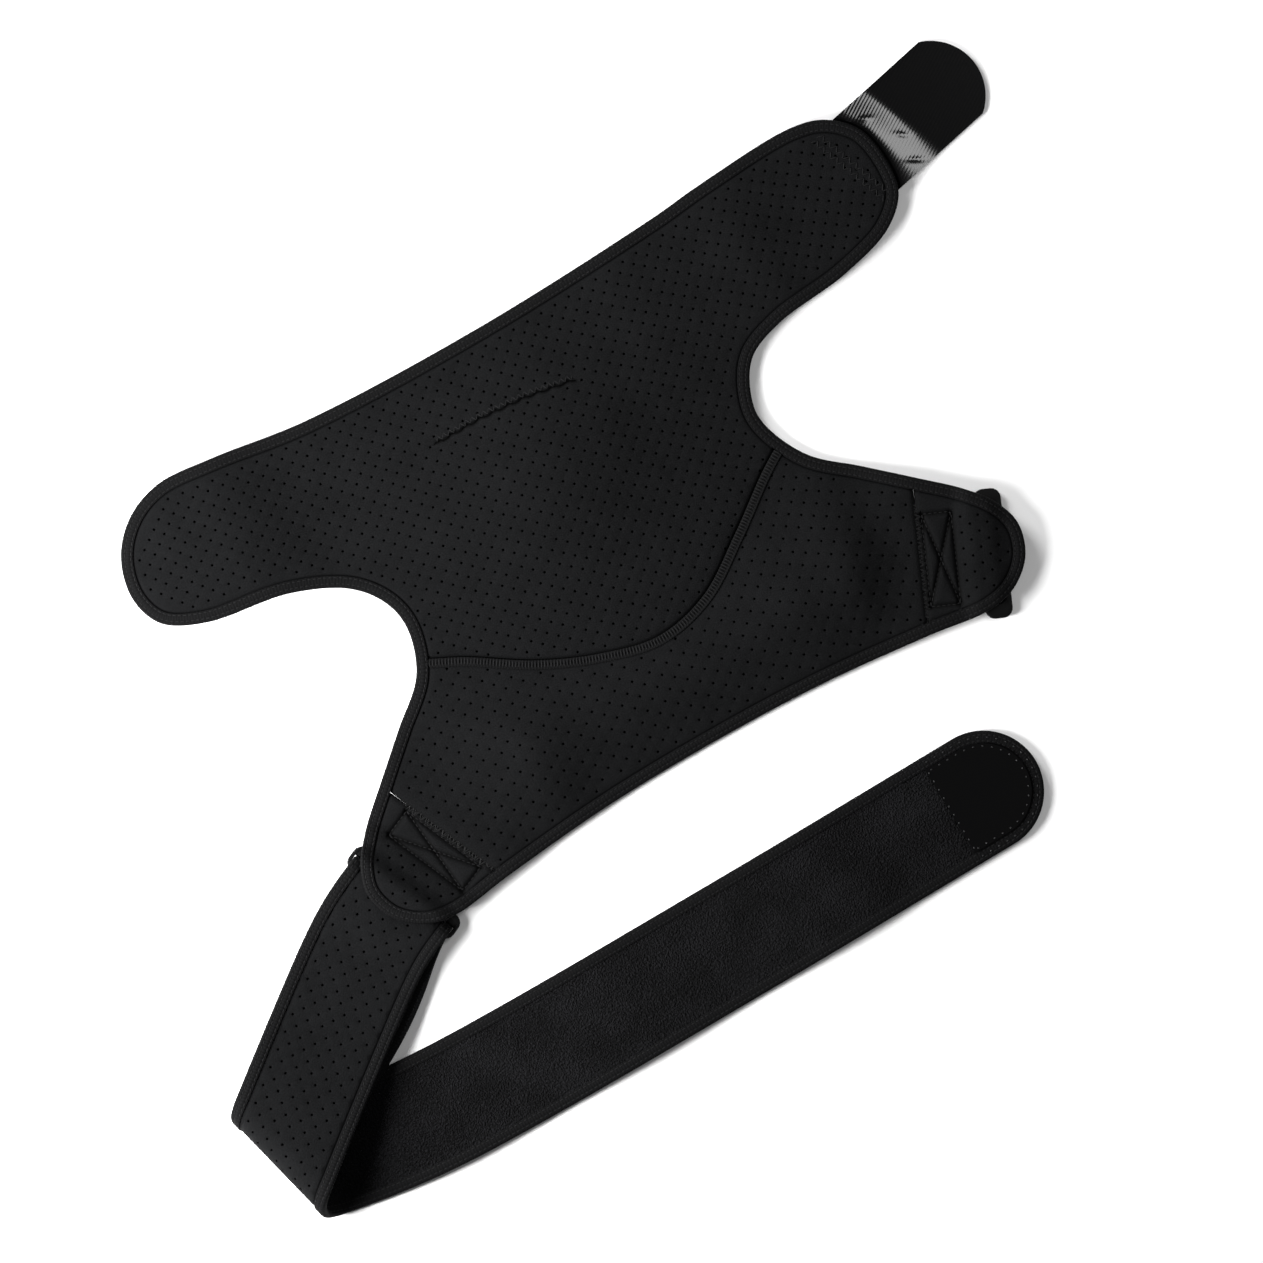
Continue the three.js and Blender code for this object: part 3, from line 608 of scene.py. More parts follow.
def dress(piece, slot, *finishes, replaces=(), smooth=40):
    """Gives a piece its materials and body, and hides the CAD nodes that it stands for. Its slot is not
    used.
    """
    for name in finishes:
        piece.data.materials.append(finish(name))
    only(piece)
    bpy.ops.object.shade_smooth_by_angle(angle=math.radians(smooth))
    deselect()
    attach(piece, "root")
    if replaces:
        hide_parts(*replaces)
    return piece


def swept(line, inward, section, surface, closed):
    """Points, faces and flat places of a closed section carried along a flat line."""
    count, sides = len(line), len(section)
    inset, height = section[:, 0], section[:, 1]
    flat = np.empty((count, sides, 3))
    flat[:, :, :2] = line[:, None] + inward[:, None] * inset[None, :, None]
    flat[:, :, 2] = height
    flat = flat.reshape(-1, 3)
    steps = count if closed else count - 1
    faces = []
    for i in range(steps):
        a, b = i * sides, (i + 1) % count * sides
        for k in range(sides):
            m = (k + 1) % sides
            faces.append((a + k, a + m, b + m, b + k))
    if not closed:
        faces.append(tuple(range(sides))[::-1])
        faces.append(tuple((count - 1) * sides + k for k in range(sides)))
    points = surface(flat)
    travel = np.concatenate([[0], np.cumsum(np.linalg.norm(np.diff(line, axis=0), axis=1))])
    over = np.arange(sides) / sides * TAPE_WIDTH * 2
    unrolled = np.column_stack([np.repeat(travel, sides), np.tile(over, count)])
    return points, facing_out(points, faces), unrolled


MILLI = 1000  # the triangulation works in millimetres
SAME = 1e-4  # points nearer than this many millimetres are one

Cut = namedtuple("Cut", "points triangles ring")


def triangulated(lines, free, rings):
    """Triangles over lines, free points and closed rings. The cut's ring is each point's ring, or -1."""
    points, edges = [], []
    for line, closed in lines:
        start = len(points)
        points += list(line)
        edges += [(start + k, start + k + 1) for k in range(len(line) - 1)]
        if closed:
            edges.append((start + len(line) - 1, start))
    points += list(free)
    first_ring = len(points)
    for ring in rings:
        start = len(points)
        points += list(ring)
        edges += [(start + k, start + (k + 1) % len(ring)) for k in range(len(ring))]
    sides = len(rings[0]) if len(rings) else 1
    spots = [Vector(p * MILLI) for p in np.array(points)]
    placed, _, triangles, sources, *_ = delaunay_2d_cdt(spots, edges, [], 0, SAME, True)
    latest = np.array([max(source, default=-1) for source in sources])
    ring = np.where(latest >= first_ring, (latest - first_ring) // sides, -1)
    return Cut(np.array([tuple(p) for p in placed]) / MILLI, np.array(triangles), ring)


def rim_edges(triangles):
    """Edges that only one triangle uses, in its own way round."""
    edges = np.vstack([triangles[:, [0, 1]], triangles[:, [1, 2]], triangles[:, [2, 0]]])
    _, first, count = np.unique(np.sort(edges, axis=1), axis=0, return_index=True, return_counts=True)
    return edges[first[count == 1]]


GROOVE_SHADE_FULL = 0.001  # depth at which the painted shade of pulled-in cloth is darkest
VENT_SIDES = 8
VENT_FLARE = 0.0004  # flat ground kept round each vent
VENT_CLEAR = 0.0004  # from there to the next free point
VENT_LIP = 0.00012  # how far a vent's rim is pressed in
VENT_DEPTH = 0.0016
VENT_TAPER = 0.85  # width of a vent's floor, as a share of its rim
NO_VENTS = np.empty((0, 2))


def rings_at(centres, radius):
    turn = np.arange(VENT_SIDES) * 2 * math.pi / VENT_SIDES
    ring = np.column_stack([np.cos(turn), np.sin(turn)]) * radius
    return centres[:, None] + ring[None]


def spread(keep, low, high, step):
    """Points on a staggered grid, where keep is true."""
    row = np.arange(low[0], high[0], step)
    heights = np.arange(low[1], high[1], step * math.sqrt(3) / 2)
    spots = np.vstack([
        np.column_stack([row + step / 2 * (k % 2), np.full(len(row), y)]) for k, y in enumerate(heights)
    ])
    return spots[keep(spots)]


def apart(points, others, gap):
    """The points that lie farther than gap from every other."""
    if not len(others):
        return points
    clear = np.ones(len(points), bool)
    batch = 500
    for start in range(0, len(points), batch):
        away = points[start:start + batch, None] - others[None]
        clear[start:start + batch] = (np.einsum("ijk,ijk->ij", away, away) > gap * gap).all(axis=1)
    return points[clear]


def cloth(name, lines, keep, free, vents, vent_width, surface, skin, back):
    """A closed sheet between its skin and back heights, with blind vents pricked into the skin."""
    radius = vent_width / 2
    free = apart(free, vents, radius + VENT_FLARE + VENT_CLEAR)
    rings = [*rings_at(vents, radius + VENT_FLARE), *rings_at(vents, radius)] if len(vents) else []
    face = triangulated(lines, free, rings)
    triangles = face.triangles[keep(face.points[face.triangles].mean(axis=1))]
    if len(vents):
        ring = face.ring[triangles]
        pricked = (ring[:, 0] == ring[:, 1]) & (ring[:, 1] == ring[:, 2]) & (ring[:, 0] >= len(vents))
        open_vents = triangles[pricked]
        triangles = triangles[~pricked]
    flat = np.column_stack([face.points, skin(face.points)])
    if len(vents):
        flat[face.ring >= len(vents), 2] -= VENT_LIP
    spots, faces, sides = [flat], [tuple(t) for t in triangles], [0] * len(triangles)
    total = len(flat)

    # The walls and floors of the vents
    if len(vents):
        loops = {}
        for index, number in enumerate(face.ring):
            if number >= len(vents):
                loops.setdefault(number, []).append(index)
        for number, loop in loops.items():
            centre = vents[number - len(vents)]
            arms = face.points[loop] - centre
            loop = [loop[k] for k in np.argsort(np.arctan2(arms[:, 1], arms[:, 0]))]
            floor = centre + VENT_TAPER * (face.points[loop] - centre)
            spots.append(np.column_stack([floor, flat[loop, 2] - VENT_DEPTH]))
            count = len(loop)
            for k in range(count):
                m = (k + 1) % count
                faces.append((loop[k], loop[m], total + m, total + k))
            faces.append(tuple(range(total, total + count)))
            sides += [2] * (count + 1)
            total += count

    # The back, cut to the same border
    plain = triangulated(lines, free, [])
    under = plain.triangles[keep(plain.points[plain.triangles].mean(axis=1))]
    spots.append(np.column_stack([plain.points, np.full(len(plain.points), back)]))
    faces += [tuple(t)[::-1] for t in under + total]
    sides += [1] * len(under)
    named = {tuple(np.round(p * MILLI, 3)): k + total for k, p in enumerate(plain.points)}
    rim = rim_edges(np.vstack([triangles, open_vents]) if len(vents) else triangles)
    for a, b in rim:
        below = [named[tuple(np.round(face.points[k] * MILLI, 3))] for k in (a, b)]
        faces.append((below[0], below[1], b, a))
        sides.append(2)
    flat = np.vstack(spots)
    used = np.unique(np.concatenate([np.array(f) for f in faces]))
    renumber = np.full(len(flat), -1)
    renumber[used] = np.arange(len(used))
    faces = [tuple(int(renumber[k]) for k in f) for f in faces]
    flat = flat[used]
    # How far each skin point is pulled in, kept for the skin's painted shade in its grooves and vent rims
    depth = np.clip((skin(flat[:, :2]).max() - flat[:, 2]) / GROOVE_SHADE_FULL, 0, 1)
    sunk = np.where(flat[:, 2] > back + GROOVE_SHADE_FULL, depth, 0)
    return new_piece(name, surface(flat), faces, flat=flat, sides=sides, sunk=sunk)


# Perforation

FAN_ROWS = 50
FAN_VENTS = 40


def fan_of_vents(across, up, fan, keep):
    """Staggered vents on rows that curl round a far middle, as the cloth was cut."""
    spots = []
    for row in range(-FAN_ROWS, FAN_ROWS + 1):
        reach = fan - row * up / 2
        shift = across / 2 if row % 2 else 0
        turn = (np.arange(-FAN_VENTS, FAN_VENTS + 1) * across + shift) / fan
        spots.append(np.column_stack([reach * np.sin(turn), fan - reach * np.cos(turn)]))
    spots = np.vstack(spots)
    return spots[keep(spots)]


def rows_of_vents(along, across, keep, low, high):
    """Staggered vents in straight rows along the strap."""
    spots = []
    for row in range(round((high[1] - low[1]) / across * 2) + 1):
        shift = along / 2 if row % 2 else 0
        run = np.arange(low[0] + shift, high[0], along)
        spots.append(np.column_stack([run, np.full(len(run), low[1] + row * across / 2)]))
    spots = np.vstack(spots)
    return spots[keep(spots)]


# Thread

def stitch_form():
    """Points and faces of one stitch, one metre long and thick, lying along X."""
    deselect()
    bpy.ops.mesh.primitive_uv_sphere_add(segments=5, ring_count=5, radius=0.5, rotation=(0, math.pi / 2, 0))
    bpy.ops.object.transform_apply(location=True, rotation=True, scale=True)
    form = bpy.context.active_object
    points = np.array([tuple(v.co) for v in form.data.vertices])
    faces = [tuple(p.vertices) for p in form.data.polygons]
    bpy.data.objects.remove(form)
    return points, faces


def threads(name, pairs, thick, surface, height, arch=0.0):
    """One mesh of stitches. pairs holds the flat start and end of each, height the level of them all."""
    form, form_faces = stitch_form()
    starts, ends = pairs[:, 0], pairs[:, 1]
    span = ends - starts
    length = np.linalg.norm(span, axis=1)
    way = span / length[:, None]
    left = to_left(way)
    middle = (starts + ends) / 2
    flat = np.empty((len(pairs), len(form), 3))
    along = form[None, :, 0] * length[:, None]
    aside = form[None, :, 1] * thick
    flat[:, :, :2] = middle[:, None] + way[:, None] * along[..., None] + left[:, None] * aside[..., None]
    over = arch * (1 - (2 * form[:, 0]) ** 2)
    flat[:, :, 2] = height + form[:, 2] * thick + over
    faces = [tuple(k + n * len(form) for k in face) for n in range(len(pairs)) for face in form_faces]
    return new_piece(name, surface(flat.reshape(-1, 3)), faces)


def sew(name, pairs, surface, height, share=1.0, arch=0.0, thread="thread"):
    """Stitches of the brace's thread, share times as thick, dressed in it."""
    thick = share * bpy.context.scene.brace_sizes.stitch_thick
    piece = threads(name, pairs, thick, surface, height, arch)
    return dress(piece, "edge_tape", thread)


def row_of_stitches(line, pitch, share=0.78, closed=False):
    """Start and end of each stitch along a line."""
    spots = paced(line, pitch, closed)
    after = np.roll(spots, -1, axis=0) if closed else spots[1:]
    before = spots if closed else spots[:-1]
    middle, half = (before + after) / 2, (after - before) / 2 * share
    return np.stack([middle - half, middle + half], axis=1)


def zigzag(line, pitch, width):
    """Start and end of each stitch of a zigzag along a line."""
    spots = paced(line, pitch)
    side = to_left(way_along(spots)) * width / 2
    side[::2] *= -1
    corners = spots + side
    return np.stack([corners[:-1], corners[1:]], axis=1)


# Materials

def finish_of(name, colour, rough, specular):
    """A Principled material with its plain values set on the shader's own sockets."""
    material = bpy.data.materials.new(name)
    material.use_nodes = True
    shader = material.node_tree.nodes["Principled BSDF"]
    shader.inputs["Base Color"].default_value = (*colour, 1)
    shader.inputs["Roughness"].default_value = rough
    shader.inputs["Specular IOR Level"].default_value = specular
    return material, shader


def node(material, kind, **settings):
    """A shader node with its settings, each a property or the value of a socket."""
    made = material.node_tree.nodes.new(kind)
    for key, value in settings.items():
        if hasattr(made, key):
            setattr(made, key, value)
        else:
            made.inputs[key.replace("_", " ").title()].default_value = value
    return made


def link(material, source, target):
    material.node_tree.links.new(source, target)


def cloth_map(material):
    return node(material, "ShaderNodeUVMap", uv_map="flat_cut").outputs["UV"]


def place_map(material):
    return node(material, "ShaderNodeTexCoord").outputs["Object"]


def tinted(material, shader, fac, low, high, dark, light):
    """The base colour runs from dark to light as fac runs from low to high."""
    ramp = node(material, "ShaderNodeValToRGB")
    ramp.color_ramp.elements[0].position = low
    ramp.color_ramp.elements[0].color = (*dark, 1)
    ramp.color_ramp.elements[1].position = high
    ramp.color_ramp.elements[1].color = (*light, 1)
    link(material, fac, ramp.inputs["Fac"])
    link(material, ramp.outputs["Color"], shader.inputs["Base Color"])
    return ramp.outputs["Color"]


def bumped(material, shader, height, strength, distance):
    bump = node(material, "ShaderNodeBump", Strength=strength, Distance=distance)
    link(material, height, bump.inputs["Height"])
    link(material, bump.outputs["Normal"], shader.inputs["Normal"])


def shaded(colour, share):
    return tuple(c * share for c in colour)


# Plain finishes with a fine grain all over. colour: a setting's name. share: how much of that colour.
Plain = namedtuple("Plain", "name colour share rough specular scale detail bump depth")
PLAIN_FINISHES = {
    "foam": Plain("neoprene_foam", "neoprene", 0.25, 0.95, 0.05, 3000, 1, 0.3, 0.0001),
    "thread": Plain("thread", "thread", 1, 0.7, 0.08, 4000, 1, 0.3, 0.0001),
    # Thread of the hook patch: glossier, and lighter than the thread as a painted glint
    "bright_thread": Plain("bright_thread", "thread", 1.5, 0.4, 0.3, 4000, 1, 0.3, 0.0001),
    "plastic": Plain("ring_plastic", "plastic", 1, 0.6, 0.12, 1800, 2, 0.2, 0.0001),
}


def plain_material(row, colours):
    colour = shaded(getattr(colours, row.colour), row.share)
    material, shader = finish_of(row.name, colour, row.rough, row.specular)
    grain = node(material, "ShaderNodeTexNoise", Scale=row.scale, Detail=row.detail)
    link(material, place_map(material), grain.inputs["Vector"])
    bumped(material, shader, grain.outputs["Fac"], row.bump, row.depth)
    return material


def skin_material(colours):
    material, shader = finish_of("neoprene_skin", colours.neoprene, 0.85, 0.06)
    spots = cloth_map(material)
    knit = node(material, "ShaderNodeTexNoise", Scale=1500, Detail=3, Roughness=0.6)
    patch = node(material, "ShaderNodeTexNoise", Scale=60, Detail=2, Roughness=0.5)
    for texture in (knit, patch):
        link(material, spots, texture.inputs["Vector"])
    mix = node(material, "ShaderNodeMath", operation="MULTIPLY_ADD")
    mix.inputs[1].default_value = 0.8
    link(material, knit.outputs["Fac"], mix.inputs[0])
    scaled = node(material, "ShaderNodeMath", operation="MULTIPLY")
    scaled.inputs[1].default_value = 0.2
    link(material, patch.outputs["Fac"], scaled.inputs[0])
    link(material, scaled.outputs[0], mix.inputs[2])
    dull, bright = shaded(colours.neoprene, 0.55), shaded(colours.neoprene, 1.5)
    ramp = tinted(material, shader, mix.outputs[0], 0.36, 0.64, dull, bright)
    # Painted shade: the colour darkens to near black where the cloth is pulled into its grooves
    sunk = node(material, "ShaderNodeAttribute", attribute_name="sunk")
    dark = node(material, "ShaderNodeMix", data_type="RGBA")
    link(material, sunk.outputs["Fac"], dark.inputs[0])
    link(material, ramp, dark.inputs[6])
    dark.inputs[7].default_value = (*shaded(colours.neoprene, 0.12), 1)
    link(material, dark.outputs[2], shader.inputs["Base Color"])
    bumped(material, shader, knit.outputs["Fac"], 0.7, 0.0003)
    return material


def nap_material(colours):
    material, shader = finish_of("fleecy_nap", colours.nap, 0.85, 0.08)
    spots = cloth_map(material)
    # Lighter flecks over the nap: its own uneven tone, and a painted sparkle where light catches its loops
    fleck = node(material, "ShaderNodeTexNoise", Scale=900, Detail=2, Roughness=0.7)
    loop = node(material, "ShaderNodeTexVoronoi", Scale=1100)
    patch = node(material, "ShaderNodeTexNoise", Scale=40, Detail=3, Roughness=0.55)
    for texture in (fleck, loop, patch):
        link(material, spots, texture.inputs["Vector"])
    mix = node(material, "ShaderNodeMath", operation="MULTIPLY_ADD")
    mix.inputs[1].default_value = 0.45
    link(material, patch.outputs["Fac"], mix.inputs[0])
    link(material, fleck.outputs["Fac"], mix.inputs[2])
    dull, bright = shaded(colours.nap, 0.3), shaded(colours.nap, 2.2)
    tinted(material, shader, mix.outputs[0], 0.64, 0.84, dull, bright)
    bumped(material, shader, loop.outputs["Distance"], 0.9, 0.0008)
    return material


def tape_material(colours):
    material, shader = finish_of("stretch_tape", colours.tape, 0.8, 0.06)
    rib = node(
        material, "ShaderNodeTexWave", wave_type="BANDS", bands_direction="X", Scale=210, Distortion=3)
    link(material, cloth_map(material), rib.inputs["Vector"])
    dull, bright = shaded(colours.tape, 0.7), shaded(colours.tape, 1.35)
    tinted(material, shader, rib.outputs["Fac"], 0.1, 0.9, dull, bright)
    bumped(material, shader, rib.outputs["Fac"], 0.35, 0.0002)
    return material


def film_material(colours):
    material, shader = finish_of("hook_film", colours.film, 0.13, 0.4)
    turned = node(material, "ShaderNodeVectorRotate", rotation_type="Z_AXIS", Angle=math.radians(-20))
    link(material, cloth_map(material), turned.inputs["Vector"])
    ribs = node(
        material, "ShaderNodeTexWave", wave_type="BANDS", bands_direction="Y", Scale=196, Distortion=0.6)
    link(material, turned.outputs["Vector"], ribs.inputs["Vector"])
    bumped(material, shader, ribs.outputs["Fac"], 0.2, 0.0001)
    return material


def webbing_material(colours):
    material, shader = finish_of("webbing", colours.webbing, 0.7, 0.3)
    weave = node(material, "ShaderNodeTexWave", wave_type="BANDS", bands_direction="DIAGONAL", Scale=500)
    link(material, place_map(material), weave.inputs["Vector"])
    bumped(material, shader, weave.outputs["Fac"], 0.6, 0.0003)
    return material


def floor_material(colours):
    return finish_of("pale_floor", colours.floor, 0.9, 0.1)[0]


MAKERS = {
    "skin": skin_material,
    "nap": nap_material,
    "tape": tape_material,
    "film": film_material,
    "webbing": webbing_material,
    "floor": floor_material,
}
made_materials = {}


def finish(name):
    """The brace's material of that name, made once."""
    colours = bpy.context.scene.brace_colours
    if name not in made_materials:
        plain = PLAIN_FINISHES.get(name)
        made_materials[name] = plain_material(plain, colours) if plain else MAKERS[name](colours)
    return made_materials[name]


# Settings

def length(name, text, default):
    return bpy.props.FloatProperty(
        name=name, description=text, default=default, min=0.0, unit="LENGTH", precision=5)


def tint(name, text, default):
    return bpy.props.FloatVectorProperty(
        name=name, description=text, default=default, subtype="COLOR", size=3, min=0.0, max=1.0)


class BraceSizes(bpy.types.PropertyGroup):
    """Sizes of the details that dress the brace."""

    vent_width: length("Vent width", "Width of one perforation", 0.00135)
    vent_across: length("Vent spacing across", "Spacing of the perforations along a row", 0.0088)
    vent_up: length("Vent spacing up", "Spacing of like rows of perforations", 0.0078)
    stitch_pitch: length("Stitch pitch", "Length of one stitch with its gap", 0.0026)
    stitch_thick: length("Thread thickness", "Thickness of the sewing thread", 0.0006)
    band_width: length("Seam band width", "Width of the flat seam between the panels", 0.0044)
    band_rise: length("Seam band rise", "How far the flat seam stands up from the cloth", 0.0005)
    dart_width: length("Dart stitch width", "Width of the zigzag that closes the dart", 0.0026)
    box_depth: length("Box stitch depth", "How far the box stitching pulls the pads in", 0.0012)


class BraceColours(bpy.types.PropertyGroup):
    """Colours of the brace's finishes."""

    neoprene: tint("Neoprene", "Knitted face of the neoprene", (0.0037, 0.0038, 0.0041))
    nap: tint("Nap", "Fleecy side of the strap", (0.0024, 0.0024, 0.0027))
    tape: tint("Tape", "Binding tape", (0.0029, 0.0029, 0.0031))
    thread: tint("Thread", "Sewing thread", (0.0085, 0.0085, 0.0088))
    film: tint("Hook film", "Glossy hook pieces", (0.0012, 0.0012, 0.0013))
    plastic: tint("Plastic", "Rings", (0.0015, 0.0015, 0.0017))
    webbing: tint("Webbing", "Loops that hold the rings", (0.007, 0.007, 0.0074))
    floor: tint("Floor", "Pale ground", (1.0, 1.0, 1.0))


# Flat cuts

VENTS_TO_TAPE = 0.0024
CLOTH_EDGE = OUTLINE + OUTLINE_IN * UNDER_TAPE
VENT_EDGE = OUTLINE + OUTLINE_IN * (TAPE_WIDTH + VENTS_TO_TAPE)
CUT_HALF = 0.06  # half length of the straight cuts between the chest panel and its pads
CUT_POINTS = 41

# Spacing of the free points, and how far they keep from a cut edge
SEAM_CLEAR = 0.001
PANEL_STEP = 0.0045
PAD_STEP = 0.0032
STRAP_STEP = 0.003
FILM_STEP = 0.0012

# Vents other than the cuff's. across: spacing along a row. up: spacing of like rows.
Vents = namedtuple("Vents", "across up")
CHEST_VENTS = Vents(0.0091, 0.0082)
PAD_VENTS = Vents(0.0088, 0.008)
STRAP_VENTS = Vents(0.0094, 0.008)
CUFF_FAN = 1.4  # radius on which the cuff's rows curl
CHEST_FAN = 0.7
CHEST_TOP = 0.02  # higher than any of the chest panel
PAD_REACH = 0.04  # farther out and to the sides than any of a pad's vents
PAD_MARGIN = 0.03
STRAP_VENT_HALF = 0.0245  # half width of the strap's pierced part

# How near the vents come to what is sewn
VENTS_OVER_SEAM = 0.0042
VENTS_UNDER_SEAM = 0.0034
VENTS_TO_DART = 0.0024
VENTS_TO_PAD = 0.003
VENTS_TO_BOX = 0.002


def above_seam(points, gap):
    return points[:, 1] > seam_height(points[:, 0]) + gap


def short_of_pads(points, gap):
    return np.all([end_place(end, points)[0] < -PAD_LINE - gap for end in ENDS], axis=0)


def panel_box(loop):
    return loop.min(axis=0), loop.max(axis=0)


def pad_cut(end, out):
    """The straight cut between the chest panel and an end pad, so far out along the ring's pull."""
    return end_plan(end, np.full(CUT_POINTS, out), np.linspace(-CUT_HALF, CUT_HALF, CUT_POINTS))


Groove = namedtuple("Groove", "line depth half step")

# Sections of the grooves. half: half width. step: spacing of the points that follow it.
Bite = namedtuple("Bite", "depth half step")
DART_BITE = Bite(0.0016, 0.0007, 0.0009)
SEAM_BITE = Bite(0.0013, 0.0008, 0.0012)
PANEL_TAPE_BITE = Bite(0.0006, 0.0005, 0.002)
STRAP_TAPE_BITE = Bite(0.0006, 0.0005, 0.004)
PAD_BITE = Bite(0.0009, 0.0012, 0.0014)
BOX_BITE_HALF = 0.0011  # also the spacing of its points
TAPE_BITE_IN = TAPE_WIDTH + 0.0004  # where the tape's inner edge bites into the cloth
PAD_BITE_HALF = 0.045  # half length of the groove between an end pad and the chest panel
BITE_ROWS = (-2.2, -1.1, 0, 1.1, 2.2)  # rows of points across a groove, in half widths
BITE_CLEAR = 2.8  # half widths kept clear of other free points
BITE_SEARCH = 0.001  # spacing of the spots along a groove that are kept clear


def grooved(points, grooves):
    """Height of the skin over the cloth's middle, drawn in along the grooves."""
    height = np.full(len(points), SKIN)
    for groove in grooves:
        height -= groove.depth * np.exp(-(distance_to(groove.line, points) / groove.half) ** 2)
    return height


def beside_lines(grooves, keep):
    """Points that let the cloth follow its grooves."""
    spots = []
    for groove in grooves:
        spaced = paced(groove.line, groove.step)
        left = to_left(way_along(spaced))
        for share in BITE_ROWS:
            spots.append(spaced + left * share * groove.half)
    spots = np.vstack(spots)
    return spots[keep(spots)]


def tape_groove():
    """The line where the tape's inner edge bites into the cloth."""
    line = OUTLINE + OUTLINE_IN * TAPE_BITE_IN
    return Groove(np.vstack([line, line[:1]]), *PANEL_TAPE_BITE)


def pad_groove(end):
    """The line that joins an end pad to the chest panel."""
    ends = np.array([-PAD_BITE_HALF, PAD_BITE_HALF])
    return Groove(end_plan(end, np.full(2, -PAD_LINE), ends), *PAD_BITE)


def puckered(free, grooves, keep):
    """Free points of a cloth, with its grooves' own points in place of those near them."""
    for groove in grooves:
        free = apart(free, paced(groove.line, BITE_SEARCH), BITE_CLEAR * groove.half)
    return np.vstack([free, beside_lines(grooves, keep)])


def pierced(name, lines, keep, free, vents, surface, grooves, back, node_name):
    """A neoprene piece with its vents and grooves. back names the finish of its other face."""
    free = puckered(free, grooves, keep)
    width = bpy.context.scene.brace_sizes.vent_width
    piece = cloth(
        name, lines, keep, free, vents, width, surface, lambda p: grooved(p, grooves), -SKIN)
    return dress(piece, "neoprene", "skin", back, "foam", replaces=[node_name])


# Box stitching. near and far lie along the ring's pull, half to its sides.
BOX_NEAR = -0.0284
BOX_FAR = -0.0134
BOX_HALF = 0.0232


def box_lines(end):
    """Outer box and crossing lines that hold a webbing loop to its pad."""
    near, far, half = BOX_NEAR, BOX_FAR, BOX_HALF
    corner = [(near, -half), (far, -half), (far, half), (near, half), (near, -half)]
    lines = [corner, [(near, -half), (far, half)], [(near, half), (far, -half)]]
    return [end_plan(end, *np.array(line, float).T) for line in lines]


def beside_seam(away):
    """The line of the seam, shifted towards the cuff."""
    return SEAM + to_left(way_along(SEAM)) * away


# Dart in the cuff, in metres on the brace's plan
Dart = namedtuple("Dart", "x y")
DART_ROWS = [Dart(-0.045, 0.0945), Dart(-0.02, 0.0945), Dart(0.005, 0.0925), Dart(0.03, 0.088)]
DART = paced(np.array(DART_ROWS), OUTLINE_STEP)
DART_LEFT = to_left(way_along(DART))
DART_SWAY = 0.0004  # the fold wavers by this, two points to each side in turn
DART_FOLD = DART + DART_LEFT * DART_SWAY * np.where(np.arange(len(DART)) % 4 < 2, 1, -1)[:, None]
DART_ROW = DART + DART_LEFT * 0.0018


class BRACE_OT_cuff(bpy.types.Operator):
    """Cuts the perforated cuff cloth, with its dart."""

    bl_idname = "brace.cuff"
    bl_label = "Cuff cloth"

    def execute(self, context):
        sizes = context.scene.brace_sizes

        def keep(p):
            return inside(CLOTH_EDGE, p) & above_seam(p, FIT / 2)

        def near(p):
            clear = distance_to(DART, p) > VENTS_TO_DART
            return inside(VENT_EDGE, p) & above_seam(p, VENTS_OVER_SEAM) & clear

        grooves = [
            Groove(DART_FOLD, *DART_BITE),
            Groove(beside_seam(sizes.band_width / 2), *SEAM_BITE),
            tape_groove(),
        ]
        low, high = panel_box(CLOTH_EDGE)
        low = np.array([low[0], -SEAM_DIP])
        seam = SEAM + np.array([0, FIT / 2])
        vents = fan_of_vents(sizes.vent_across, sizes.vent_up, CUFF_FAN, near)
        free = spread(lambda p: keep(p) & above_seam(p, SEAM_CLEAR), low, high, PANEL_STEP)
        piece = pierced(
            "cuff_cloth", [(CLOTH_EDGE, True), (seam, False)], keep, free, vents, on_panels, grooves,
            "skin", "cuff_panel")
        return {"FINISHED"}


class BRACE_OT_chest(bpy.types.Operator):
    """Cuts the perforated chest cloth."""

    bl_idname = "brace.chest"
    bl_label = "Chest cloth"

    def execute(self, context):
        def keep(p):
            return inside(CLOTH_EDGE, p) & ~above_seam(p, -FIT / 2) & short_of_pads(p, FIT / 2)

        def near(p):
            clear = short_of_pads(p, VENTS_TO_PAD)
            return inside(VENT_EDGE, p) & ~above_seam(p, -VENTS_UNDER_SEAM) & clear

        vents = fan_of_vents(*CHEST_VENTS, CHEST_FAN, near)
        low, high = panel_box(CLOTH_EDGE)
        high = np.array([high[0], CHEST_TOP])
        free = spread(lambda p: keep(p) & ~above_seam(p, -SEAM_CLEAR), low, high, PANEL_STEP)
        grooves = [tape_groove(), *[pad_groove(end) for end in ENDS]]
        seam = SEAM - np.array([0, FIT / 2])
        cuts = [(pad_cut(end, -PAD_LINE - FIT / 2), False) for end in ENDS]
        piece = pierced(
            "chest_cloth", [(CLOTH_EDGE, True), (seam, False), *cuts], keep, free, vents, on_panels,
            grooves, "skin", "chest_panel")
        return {"FINISHED"}


